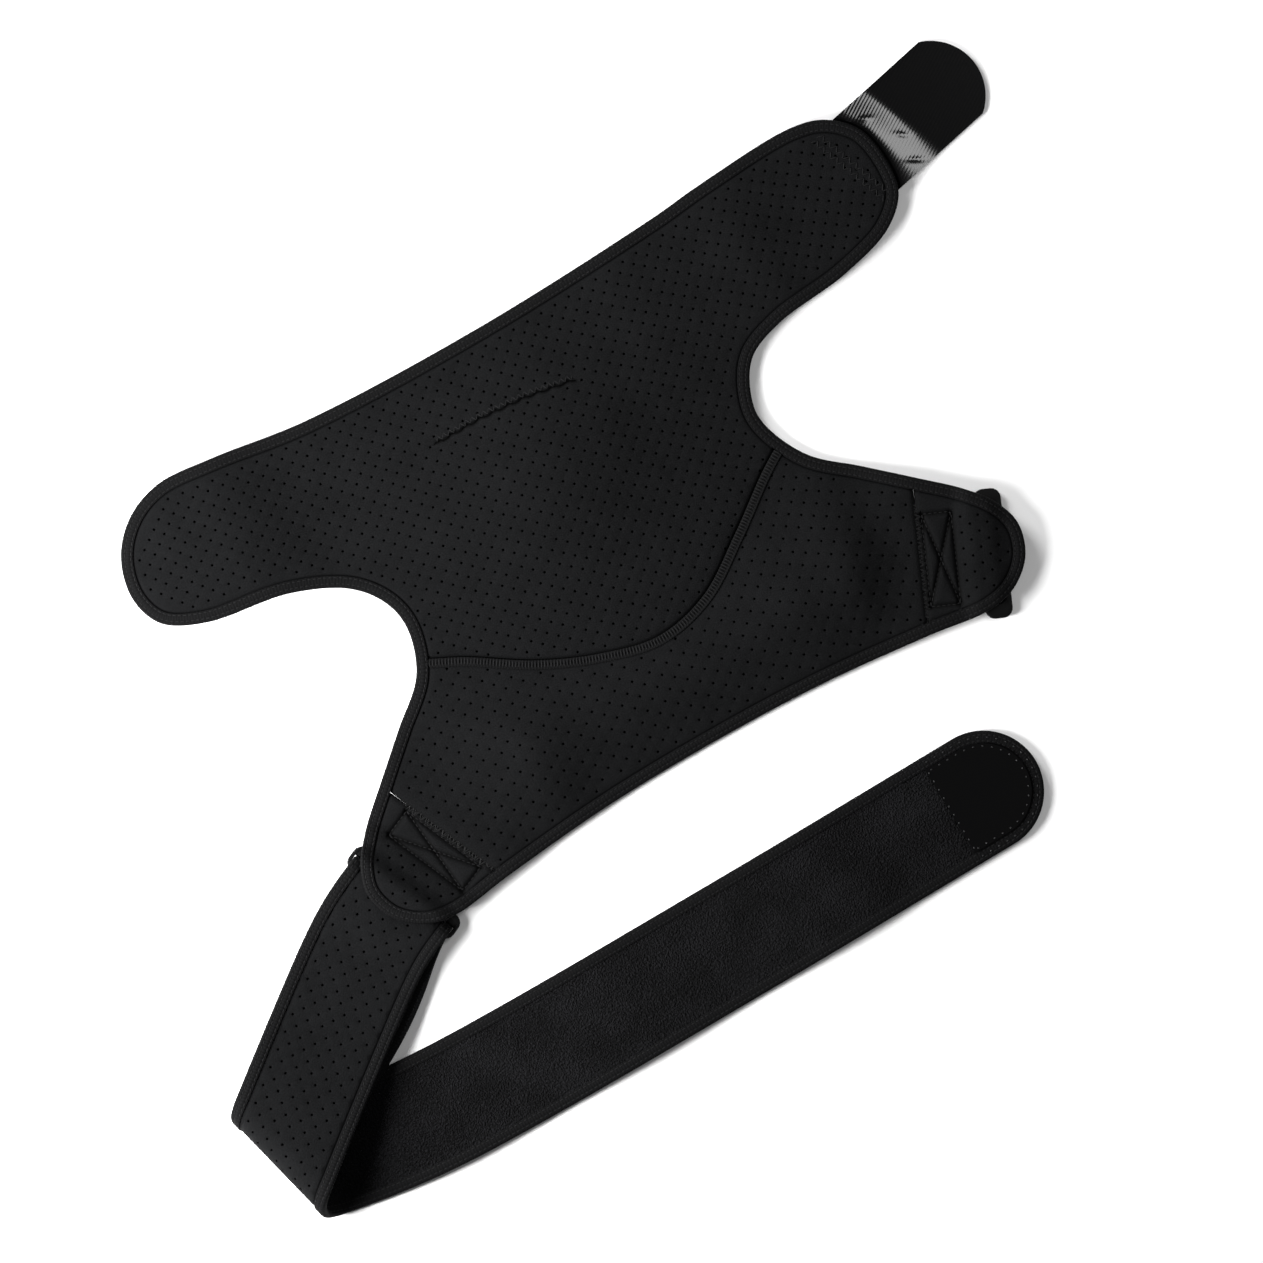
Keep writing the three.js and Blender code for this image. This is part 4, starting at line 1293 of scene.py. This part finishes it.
class BRACE_OT_pads(bpy.types.Operator):
    """Cuts the two round end pads, puffed up between their box stitching."""

    bl_idname = "brace.pads"
    bl_label = "End pads"

    def execute(self, context):
        sizes = context.scene.brace_sizes
        for end in ENDS:
            def past(p, out):
                return (end_place(end, p)[0] > out) & (p[:, 1] < 0)

            def keep(p):
                return inside(CLOTH_EDGE, p) & past(p, -PAD_LINE + FIT / 2)

            def turned(p):
                return end_plan(end, p[:, 0], p[:, 1])

            def near(p):
                return inside(VENT_EDGE, turned(p)) & past(turned(p), BOX_FAR + VENTS_TO_BOX)

            bite = Bite(sizes.box_depth, BOX_BITE_HALF, BOX_BITE_HALF)
            grooves = [Groove(line, *bite) for line in box_lines(end)]
            grooves += [tape_groove(), pad_groove(end)]
            corner = np.full(2, PAD_REACH)
            vents = turned(rows_of_vents(*PAD_VENTS, near, -corner, corner))
            reach = turned(np.array([(-PAD_LINE, -PAD_BITE_HALF), (PAD_REACH, PAD_BITE_HALF)]))
            low, high = reach.min(axis=0) - PAD_MARGIN, reach.max(axis=0) + PAD_MARGIN
            free = spread(keep, low, high, PAD_STEP)
            cut = pad_cut(end, -PAD_LINE + FIT / 2)
            piece = pierced(
                f"pad_cloth_{end.name}", [(CLOTH_EDGE, True), (cut, False)], keep, free, vents, on_panels,
                grooves, "skin", f"end_pad_{end.name}")
        return {"FINISHED"}


def tape_section():
    return np.column_stack([column(TAPE_SECTION, "inset"), column(TAPE_SECTION, "height")]) / MILLI


class BRACE_OT_edge_tape(bpy.types.Operator):
    """Folds the binding tape round the outer edge of the panels."""

    bl_idname = "brace.edge_tape"
    bl_label = "Edge tape"

    def execute(self, context):
        points, faces, unrolled = swept(OUTLINE, OUTLINE_IN, tape_section(), on_panels, True)
        piece = new_piece("edge_tape", points, faces, flat=unrolled)
        dress(piece, "edge_tape", "tape", replaces=["edge_binding"], smooth=60)
        return {"FINISHED"}


STITCH_ROWS = (0.0021, 0.0051)  # how far in from the edge the tape is sewn down
BED = 0.0001  # how far stitches lie in the cloth that they hold
TAPE_TOP = SKIN + TAPE_WALL

# Zigzag stitches
DART_PITCH = 0.0016
Zigzag = namedtuple("Zigzag", "pitch width")
JOIN_ZIGZAGS = [Zigzag(0.0017, 0.0042), Zigzag(0.0023, 0.0048)]
JOIN_HALF = 0.029
JOIN_SUNK = 0.0008
TAB_ZIGZAG = Zigzag(0.0021, 0.003)
TAB_SEAM_RUNS = (0.0025, 0.0065)  # where the tab's two seams start
TAB_SEAM_SKEW = 0.007
TAB_SEAM_HALF = 0.023


class BRACE_OT_panel_stitches(bpy.types.Operator):
    """Sews the edge tape down, closes the dart and boxes in the webbing loops."""

    bl_idname = "brace.panel_stitches"
    bl_label = "Panel stitches"

    def execute(self, context):
        sizes = context.scene.brace_sizes
        rows = np.vstack([
            row_of_stitches(OUTLINE + OUTLINE_IN * inset, sizes.stitch_pitch, closed=True)
            for inset in STITCH_ROWS
        ])
        sew("edge_stitches", rows, on_panels, TAPE_TOP - BED)
        sew("edge_stitches_under", rows, on_panels, BED - TAPE_TOP)
        sew("dart_stitches", zigzag(DART_ROW, DART_PITCH, sizes.dart_width), on_panels, SKIN - BED)
        for end in ENDS:
            rows = np.vstack([row_of_stitches(line, sizes.stitch_pitch) for line in box_lines(end)])
            sew(f"box_stitches_{end.name}", rows, on_panels, SKIN - sizes.box_depth)
            join = end_plan(end, np.full(2, -PAD_LINE), np.array([-JOIN_HALF, JOIN_HALF]))
            rows = np.vstack([zigzag(join, *form) for form in JOIN_ZIGZAGS])
            sew(f"pad_join_{end.name}", rows, on_panels, SKIN - JOIN_SUNK)
        side = np.array([TAB_SEAM_HALF, -TAB_SEAM_HALF])
        rows = np.vstack([
            zigzag(tab_plan(np.array([run, run + TAB_SEAM_SKEW]), side), *TAB_ZIGZAG)
            for run in TAB_SEAM_RUNS
        ])
        sew("tab_seam", rows, on_panels, SKIN + BED)
        return {"FINISHED"}


# Section of the seam band. across: share of its half width, from the cuff's side. rise: share of its rise.
Band = namedtuple("Band", "across rise")
BAND_SECTION = [
    Band(0.98, -2.2), Band(1, -0.6), Band(0.9, 0.5), Band(0.55, 0.75), Band(0, 0.7), Band(-0.45, 0.7),
    Band(-0.68, 0.9), Band(-0.85, 1.3), Band(-1.02, 1.25), Band(-1.15, 0.8), Band(-1.2, -0.2),
    Band(-1.15, -2.2),
]
BAND_END = 0.005  # how far in from the outline the band ends, under the tape
LADDER_PITCH = 0.0016
LADDER_REACH = 1.05  # half length of a rung, in half widths of the band
LADDER_THICK = 1.2
LADDER_ARCH = 1.1  # rise of a rung's middle, in rises of the band


def inner_seam():
    """The seam between the panels, as far as the edge tape."""
    return SEAM[inside(OUTLINE + OUTLINE_IN * BAND_END, SEAM)]


class BRACE_OT_seam_band(bpy.types.Operator):
    """Lays the raised flat seam with its ladder of thread over the join between the panels."""

    bl_idname = "brace.seam_band"
    bl_label = "Seam band"

    def execute(self, context):
        sizes = context.scene.brace_sizes
        line = inner_seam()
        left = to_left(way_along(line))
        half, rise = sizes.band_width / 2, sizes.band_rise
        section = np.column_stack([
            column(BAND_SECTION, "across") * half,
            SKIN + column(BAND_SECTION, "rise") * rise,
        ])
        points, faces, unrolled = swept(line, left, section, on_panels, False)
        piece = new_piece("seam_band", points, faces, flat=unrolled)
        dress(piece, "neoprene", "tape", smooth=70)
        spots = paced(line, LADDER_PITCH)
        side = to_left(way_along(spots)) * half * LADDER_REACH
        ladder = np.stack([spots - side, spots + side], axis=1)
        sew("seam_ladder", ladder, on_panels, SKIN, share=LADDER_THICK, arch=LADDER_ARCH * rise)
        return {"FINISHED"}


def strap_border(step, inset):
    """The strap's edge in the flat, from its folded end round the free end and back."""
    half = STRAP_HALF - inset
    runs = np.linspace(PLY_END, ROUND_FROM, round((ROUND_FROM - PLY_END) / step))
    turn = np.linspace(math.pi / 2, -math.pi / 2, round(math.pi * half / step) + 1)[1:-1]
    return np.vstack([
        np.column_stack([runs, np.full(len(runs), half)]),
        np.column_stack([ROUND_FROM + half * np.cos(turn), half * np.sin(turn)]),
        np.column_stack([runs[::-1], np.full(len(runs), -half)]),
    ])


BORDER_STEP = 0.0025
STRAP_VENT_START = 0.002
STRAP_VENTS_TO_TAPE = 0.0016
STRAP_MARGIN = 0.0012
TAPE_STEP = 0.0022


class BRACE_OT_strap(bpy.types.Operator):
    """Cuts the strap, skin on one face and nap on the other, and lays it through its ring and its fold."""

    bl_idname = "brace.strap"
    bl_label = "Strap cloth"

    def execute(self, context):
        edge = strap_border(BORDER_STEP, UNDER_TAPE)
        within = strap_border(BORDER_STEP, TAPE_WIDTH + STRAP_VENTS_TO_TAPE)

        def keep(p):
            return inside(edge, p)

        start, end = (STRAP_VENT_START, -STRAP_VENT_HALF), (STRAP_RUN, STRAP_VENT_HALF)
        vents = rows_of_vents(*STRAP_VENTS, lambda p: inside(within, p), start, end)
        low, high = panel_box(edge)
        free = spread(keep, low + STRAP_MARGIN, high - STRAP_MARGIN, STRAP_STEP)
        grooves = [Groove(strap_border(STRAP_TAPE_BITE.step, TAPE_BITE_IN), *STRAP_TAPE_BITE)]
        piece = pierced(
            "strap_cloth", [(edge, True)], keep, free, vents, on_strap, grooves, "nap", "strap")
        return {"FINISHED"}


class BRACE_OT_strap_tape(bpy.types.Operator):
    """Folds the binding tape round the strap and sews it down on both faces."""

    bl_idname = "brace.strap_tape"
    bl_label = "Strap tape"

    def execute(self, context):
        sizes = context.scene.brace_sizes
        border = strap_border(TAPE_STEP, 0)
        inward = -to_left(way_along(border))
        points, faces, unrolled = swept(border, inward, tape_section(), on_strap, False)
        piece = new_piece("strap_tape", points, faces, flat=unrolled)
        dress(piece, "edge_tape", "tape", replaces=["strap_binding"], smooth=60)
        rows = np.vstack([
            row_of_stitches(strap_border(OUTLINE_STEP, inset), sizes.stitch_pitch) for inset in STITCH_ROWS
        ])
        sew("strap_stitches_skin", rows, on_strap, TAPE_TOP - BED)
        sew("strap_stitches_nap", rows, on_strap, BED - TAPE_TOP)
        return {"FINISHED"}


PATCH_START = STRAP_RUN - END_PATCH_LENGTH
PATCH_HALF = STRAP_HALF - TAPE_WIDTH - FIT
PATCH_EDGE_STEP = 0.002
PATCH_LINE_STEP = 0.0005
PATCH_MARGIN = 0.001
PATCH_PITCH = 0.0048
PATCH_STITCH = 0.24  # length of a stitch, as a share of its pitch
PATCH_THICK = 1.3
ROUND_POINTS = 41
BULGE_POINTS = 33
TAB_EDGE_STEP = 0.0015
TAB_MARGIN = 0.0006

# Rows of stitches round the patch. crossed: with a row across its straight end.
PatchRow = namedtuple("PatchRow", "name inset level crossed")
PATCH_ROWS = [
    PatchRow("patch_stitches_outer", 0.0032, TAPE_TOP, False),
    PatchRow("patch_stitches_inner", 0.0077, SKIN + FIT + END_PATCH_THICK, True),
]


def film(name, edge, margin, step, surface, top, bottom, node_name):
    """A piece of glossy hook film inside a flat edge."""
    low, high = panel_box(edge)

    def keep(p):
        return inside(edge, p)

    free = spread(keep, low + margin, high - margin, step)
    piece = cloth(
        name, [(edge, True)], keep, free, NO_VENTS, 0, surface, lambda p: np.full(len(p), top), bottom)
    return dress(piece, "hook_film", "film", "film", "film", replaces=[node_name])


class BRACE_OT_hooks(bpy.types.Operator):
    """Cuts the glossy hook patch at the strap's free end and the hook tab under the cuff's lobe."""

    bl_idname = "brace.hooks"
    bl_label = "Hook pieces"

    def execute(self, context):
        turn = np.linspace(math.pi / 2, -math.pi / 2, ROUND_POINTS)
        edge = paced(np.vstack([
            [(PATCH_START, -PATCH_HALF), (PATCH_START, PATCH_HALF)],
            np.column_stack([ROUND_FROM + PATCH_HALF * np.cos(turn), PATCH_HALF * np.sin(turn)]),
        ]), PATCH_EDGE_STEP, closed=True)
        face = -SKIN - FIT
        film("hook_patch", edge, PATCH_MARGIN, STRAP_STEP, on_strap, face, face - END_PATCH_THICK,
             "strap_hook_patch")
        for row in PATCH_ROWS:
            line = strap_border(PATCH_LINE_STEP, row.inset)
            lines = [line[line[:, 0] > PATCH_START]]
            if row.crossed:
                start = PATCH_START + PATCH_MARGIN
                lines.append(np.array([(start, -PATCH_HALF), (start, PATCH_HALF)]))
            pairs = np.vstack([row_of_stitches(line, PATCH_PITCH, share=PATCH_STITCH) for line in lines])
            sew(row.name, pairs, on_strap, -row.level, share=PATCH_THICK, thread="bright_thread")

        side = np.linspace(-TAB_WIDTH / 2, TAB_WIDTH / 2, BULGE_POINTS)
        bulge = np.sqrt(TAB_ROUND ** 2 - side ** 2) - TAB_ROUND + TAB_BULGE
        edge = paced(np.vstack([
            [(0, TAB_WIDTH / 2), (0, -TAB_WIDTH / 2)],
            np.column_stack([TAB_STRAIGHT + bulge, side]),
        ]), TAB_EDGE_STEP, closed=True)
        film("tab_film", edge, TAB_MARGIN, FILM_STEP, on_tab, TAB_THICK / 2, -TAB_THICK / 2, "hook_tab")
        return {"FINISHED"}


def clear_picks(mesh, mode):
    """Deselects all of a mesh and sets what the next edit works on: vertices, edges or faces."""
    for group in (mesh.vertices, mesh.edges, mesh.polygons):
        group.foreach_set("select", [False] * len(group))
    bpy.context.tool_settings.mesh_select_mode = mode


def pick_edges(mesh, wanted):
    """Selects only the edges for which wanted is true."""
    clear_picks(mesh, (False, True, False))
    for edge in mesh.edges:
        edge.select = wanted(*(mesh.vertices[k].co for k in edge.vertices))


def upright(a, b):
    return (a.xy - b.xy).length < SAME / MILLI


SHOULDER_FROM = 0.0256  # past the edge of the webbing
SHOULDER_OUT = RING_PITCH - STRAP_EYE_OUTER - FIT / 6
RING_CORNER = 0.005
CORNER_CUTS = 5
ROUNDING_CUTS = 2
SHARP = math.radians(50)

# Slot of each ring. length: across the pull. corner: radius of its corners.
Slot = namedtuple("Slot", "end length corner")
SLOTS = [Slot(LEFT_END, STRAP_WIDTH + FIT / 3, 0.0015), Slot(RIGHT_END, 0.0505, 0.0036)]


def new_block(middle, size):
    """A box of a size about its middle."""
    deselect()
    bpy.ops.mesh.primitive_cube_add(size=1, location=middle)
    block = bpy.context.active_object
    block.scale = size
    bpy.ops.object.transform_apply(location=True, rotation=True, scale=True)
    return block


def ring_shoulder(side):
    """A solid block that fills one end of the ring's slot beside the webbing, short of the strap."""
    far = RING_LENGTH / 2 - RING_END / 2
    block = new_block(
        (SHOULDER_OUT / 2, side * (SHOULDER_FROM + far) / 2, 0),
        (SHOULDER_OUT, far - SHOULDER_FROM, RING_BAR - FIT))
    clear_picks(block.data, (False, True, False))
    bpy.ops.object.mode_set(mode="EDIT")
    bpy.ops.mesh.select_all(action="SELECT")
    bpy.ops.mesh.bevel(offset=RING_BEVEL, segments=ROUNDING_CUTS, affect="EDGES")
    bpy.ops.object.mode_set(mode="OBJECT")
    return block


class BRACE_OT_rings(bpy.types.Operator):
    """Moulds the two plastic rings, whose ends stand out beside the pads."""

    bl_idname = "brace.rings"
    bl_label = "Rings"

    def execute(self, context):
        width = RING_PITCH + RING_BAR
        for slot in SLOTS:
            end = slot.end
            piece = new_block((RING_PITCH / 2, 0, 0), (width, RING_LENGTH, RING_BAR))
            piece.name = f"ring_body_{end.name}"
            clear_picks(piece.data, (False, False, True))
            for face in piece.data.polygons:
                face.select = abs(face.normal.z) > 0.5
            bpy.ops.object.mode_set(mode="EDIT")
            bpy.ops.mesh.inset(thickness=RING_END)
            shares = (
                (RING_PITCH - RING_BAR) / (width - 2 * RING_END),
                slot.length / (RING_LENGTH - 2 * RING_END),
                1,
            )
            bpy.ops.transform.resize(value=shares, center_override=(RING_PITCH / 2, 0, 0))
            bpy.ops.mesh.bridge_edge_loops()
            for half, radius in ((RING_LENGTH / 2, RING_CORNER), (slot.length / 2, slot.corner)):
                bpy.ops.object.mode_set(mode="OBJECT")
                pick_edges(piece.data, lambda a, b: upright(a, b) and abs(abs(a.y) - half) < SAME / MILLI)
                bpy.ops.object.mode_set(mode="EDIT")
                bpy.ops.mesh.bevel(offset=radius, segments=CORNER_CUTS, affect="EDGES")
            bpy.ops.mesh.select_all(action="DESELECT")
            bpy.ops.mesh.edges_select_sharp(sharpness=SHARP)
            bpy.ops.mesh.bevel(offset=RING_BEVEL, segments=ROUNDING_CUTS, affect="EDGES")
            bpy.ops.object.mode_set(mode="OBJECT")
            if end is LEFT_END:
                blocks = [ring_shoulder(side) for side in (-1, 1)]
                only(piece)
                for block in blocks:
                    block.select_set(True)
                bpy.ops.object.join()
            turn = math.atan2(end.pull[1], end.pull[0])
            piece.rotation_euler = (0, -end.tilt, turn)
            piece.location = (*(end.anchor + np.array(BRACE_MIDDLE)), INNER_BAR_HEIGHT)
            bpy.ops.object.transform_apply(location=True, rotation=True, scale=True)
            dress(piece, "ring_plastic", "plastic", replaces=[f"ring_{end.name}"])
        return {"FINISHED"}


CARRIED = {
    "ring_loop_left": "webbing",
    "ring_loop_right": "webbing",
    "strap_keeper_patch": "webbing",
}


class BRACE_OT_carried(bpy.types.Operator):
    """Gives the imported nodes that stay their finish."""

    bl_idname = "brace.carried"
    bl_label = "Carried-over nodes"

    def execute(self, context):
        for name, material in CARRIED.items():
            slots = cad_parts[name].data.materials
            slots.clear()
            slots.append(finish(material))
        return {"FINISHED"}


# Stage

VIEW_MIDDLE = (0.00212, 0.0031)
VIEW_WIDTH = 0.6315
VIEW_TURN = math.radians(-29.7)
CAMERA_HEIGHT = 5.0
SENSOR = 36.0
WORLD_LIGHT = 0.08
FLOOR_SIZE = 30
FLOOR_DROP = 0.0001

# Lights. place, target: across and up the picture, and height. size: metres. power: watts.
Light = namedtuple("Light", "name place target size power")
LIGHTS = [
    Light("key_light", (-0.69, -0.24, 0.4), (-0.1, -0.03, 0), (0.3, 0.5), 21),
    Light("top_light", (-0.45, 0.62, 0.42), (-0.05, 0.05, 0), (0.4, 0.4), 8),
    Light("far_light", (0.85, 0.3, 0.9), (0.1, 0.05, 0), (0.7, 0.7), 2.6),
    Light("card_light", (0.51, 0.58, 1.5), (0.15, 0.25, 0), (0.34, 0.34), 3.5),
]


def in_view(right, up, height):
    """A place given by its way across and up the picture."""
    cos, sin = math.cos(VIEW_TURN), math.sin(VIEW_TURN)
    return (VIEW_MIDDLE[0] + right * cos - up * sin, VIEW_MIDDLE[1] + right * sin + up * cos, height)


def soft_light(light):
    data = bpy.data.lights.new(light.name, "AREA")
    data.shape = "RECTANGLE"
    data.size, data.size_y = light.size
    data.energy = light.power
    place, target = Vector(in_view(*light.place)), Vector(in_view(*light.target))
    lamp = bpy.data.objects.new(light.name, data)
    lamp.location = place
    lamp.rotation_euler = (target - place).to_track_quat("-Z", "Y").to_euler()
    lamp.visible_camera = False
    bpy.context.scene.collection.objects.link(lamp)


class BRACE_OT_stage(bpy.types.Operator):
    """Sets the pale floor, the soft lights and the camera straight above."""

    bl_idname = "brace.stage"
    bl_label = "Stage"

    def execute(self, context):
        scene = context.scene
        deselect()
        bpy.ops.mesh.primitive_plane_add(size=FLOOR_SIZE, location=(0, 0, -FLOOR_DROP))
        bpy.ops.object.transform_apply(location=True, rotation=True, scale=True)
        floor = context.active_object
        floor.name = "floor"
        floor.data.materials.append(finish("floor"))
        world = scene.world or bpy.data.worlds.new("studio")
        scene.world = world
        world.use_nodes = True
        sky = world.node_tree.nodes["Background"]
        sky.inputs["Color"].default_value = (1, 1, 1, 1)
        sky.inputs["Strength"].default_value = WORLD_LIGHT
        for light in LIGHTS:
            soft_light(light)
        camera = bpy.data.cameras.new("camera")
        camera.sensor_width = SENSOR
        camera.lens = CAMERA_HEIGHT * SENSOR / VIEW_WIDTH
        camera.clip_end = 100
        eye = bpy.data.objects.new("camera", camera)
        eye.location = in_view(0, 0, CAMERA_HEIGHT)
        eye.rotation_euler = (0, 0, VIEW_TURN)
        scene.collection.objects.link(eye)
        scene.camera = eye
        scene.view_settings.view_transform = "Standard"
        deselect()
        return {"FINISHED"}


class BRACE_PT_panel(bpy.types.Panel):
    """Lists the brace's pieces and settings."""

    bl_idname = "BRACE_PT_panel"
    bl_label = "Shoulder brace"
    bl_space_type = "VIEW_3D"
    bl_region_type = "UI"
    bl_category = "Brace"

    def draw(self, context):
        for group in (context.scene.brace_sizes, context.scene.brace_colours):
            for key in group.__annotations__:
                self.layout.prop(group, key)
        for operator in OPERATORS:
            self.layout.operator(operator.bl_idname)


OPERATORS = [
    BRACE_OT_cuff,
    BRACE_OT_chest,
    BRACE_OT_pads,
    BRACE_OT_edge_tape,
    BRACE_OT_panel_stitches,
    BRACE_OT_seam_band,
    BRACE_OT_strap,
    BRACE_OT_strap_tape,
    BRACE_OT_hooks,
    BRACE_OT_rings,
    BRACE_OT_carried,
    BRACE_OT_stage,
]
CLASSES = [BraceSizes, BraceColours, *OPERATORS, BRACE_PT_panel]


def register():
    for cls in CLASSES:
        bpy.utils.register_class(cls)
    bpy.types.Scene.brace_sizes = bpy.props.PointerProperty(type=BraceSizes)
    bpy.types.Scene.brace_colours = bpy.props.PointerProperty(type=BraceColours)


def unregister():
    del bpy.types.Scene.brace_colours
    del bpy.types.Scene.brace_sizes
    for cls in reversed(CLASSES):
        bpy.utils.unregister_class(cls)


def main():
    register()
    for operator in OPERATORS:
        group, name = operator.bl_idname.split(".")
        getattr(getattr(bpy.ops, group), name)()


if __name__ == "__main__":
    main()
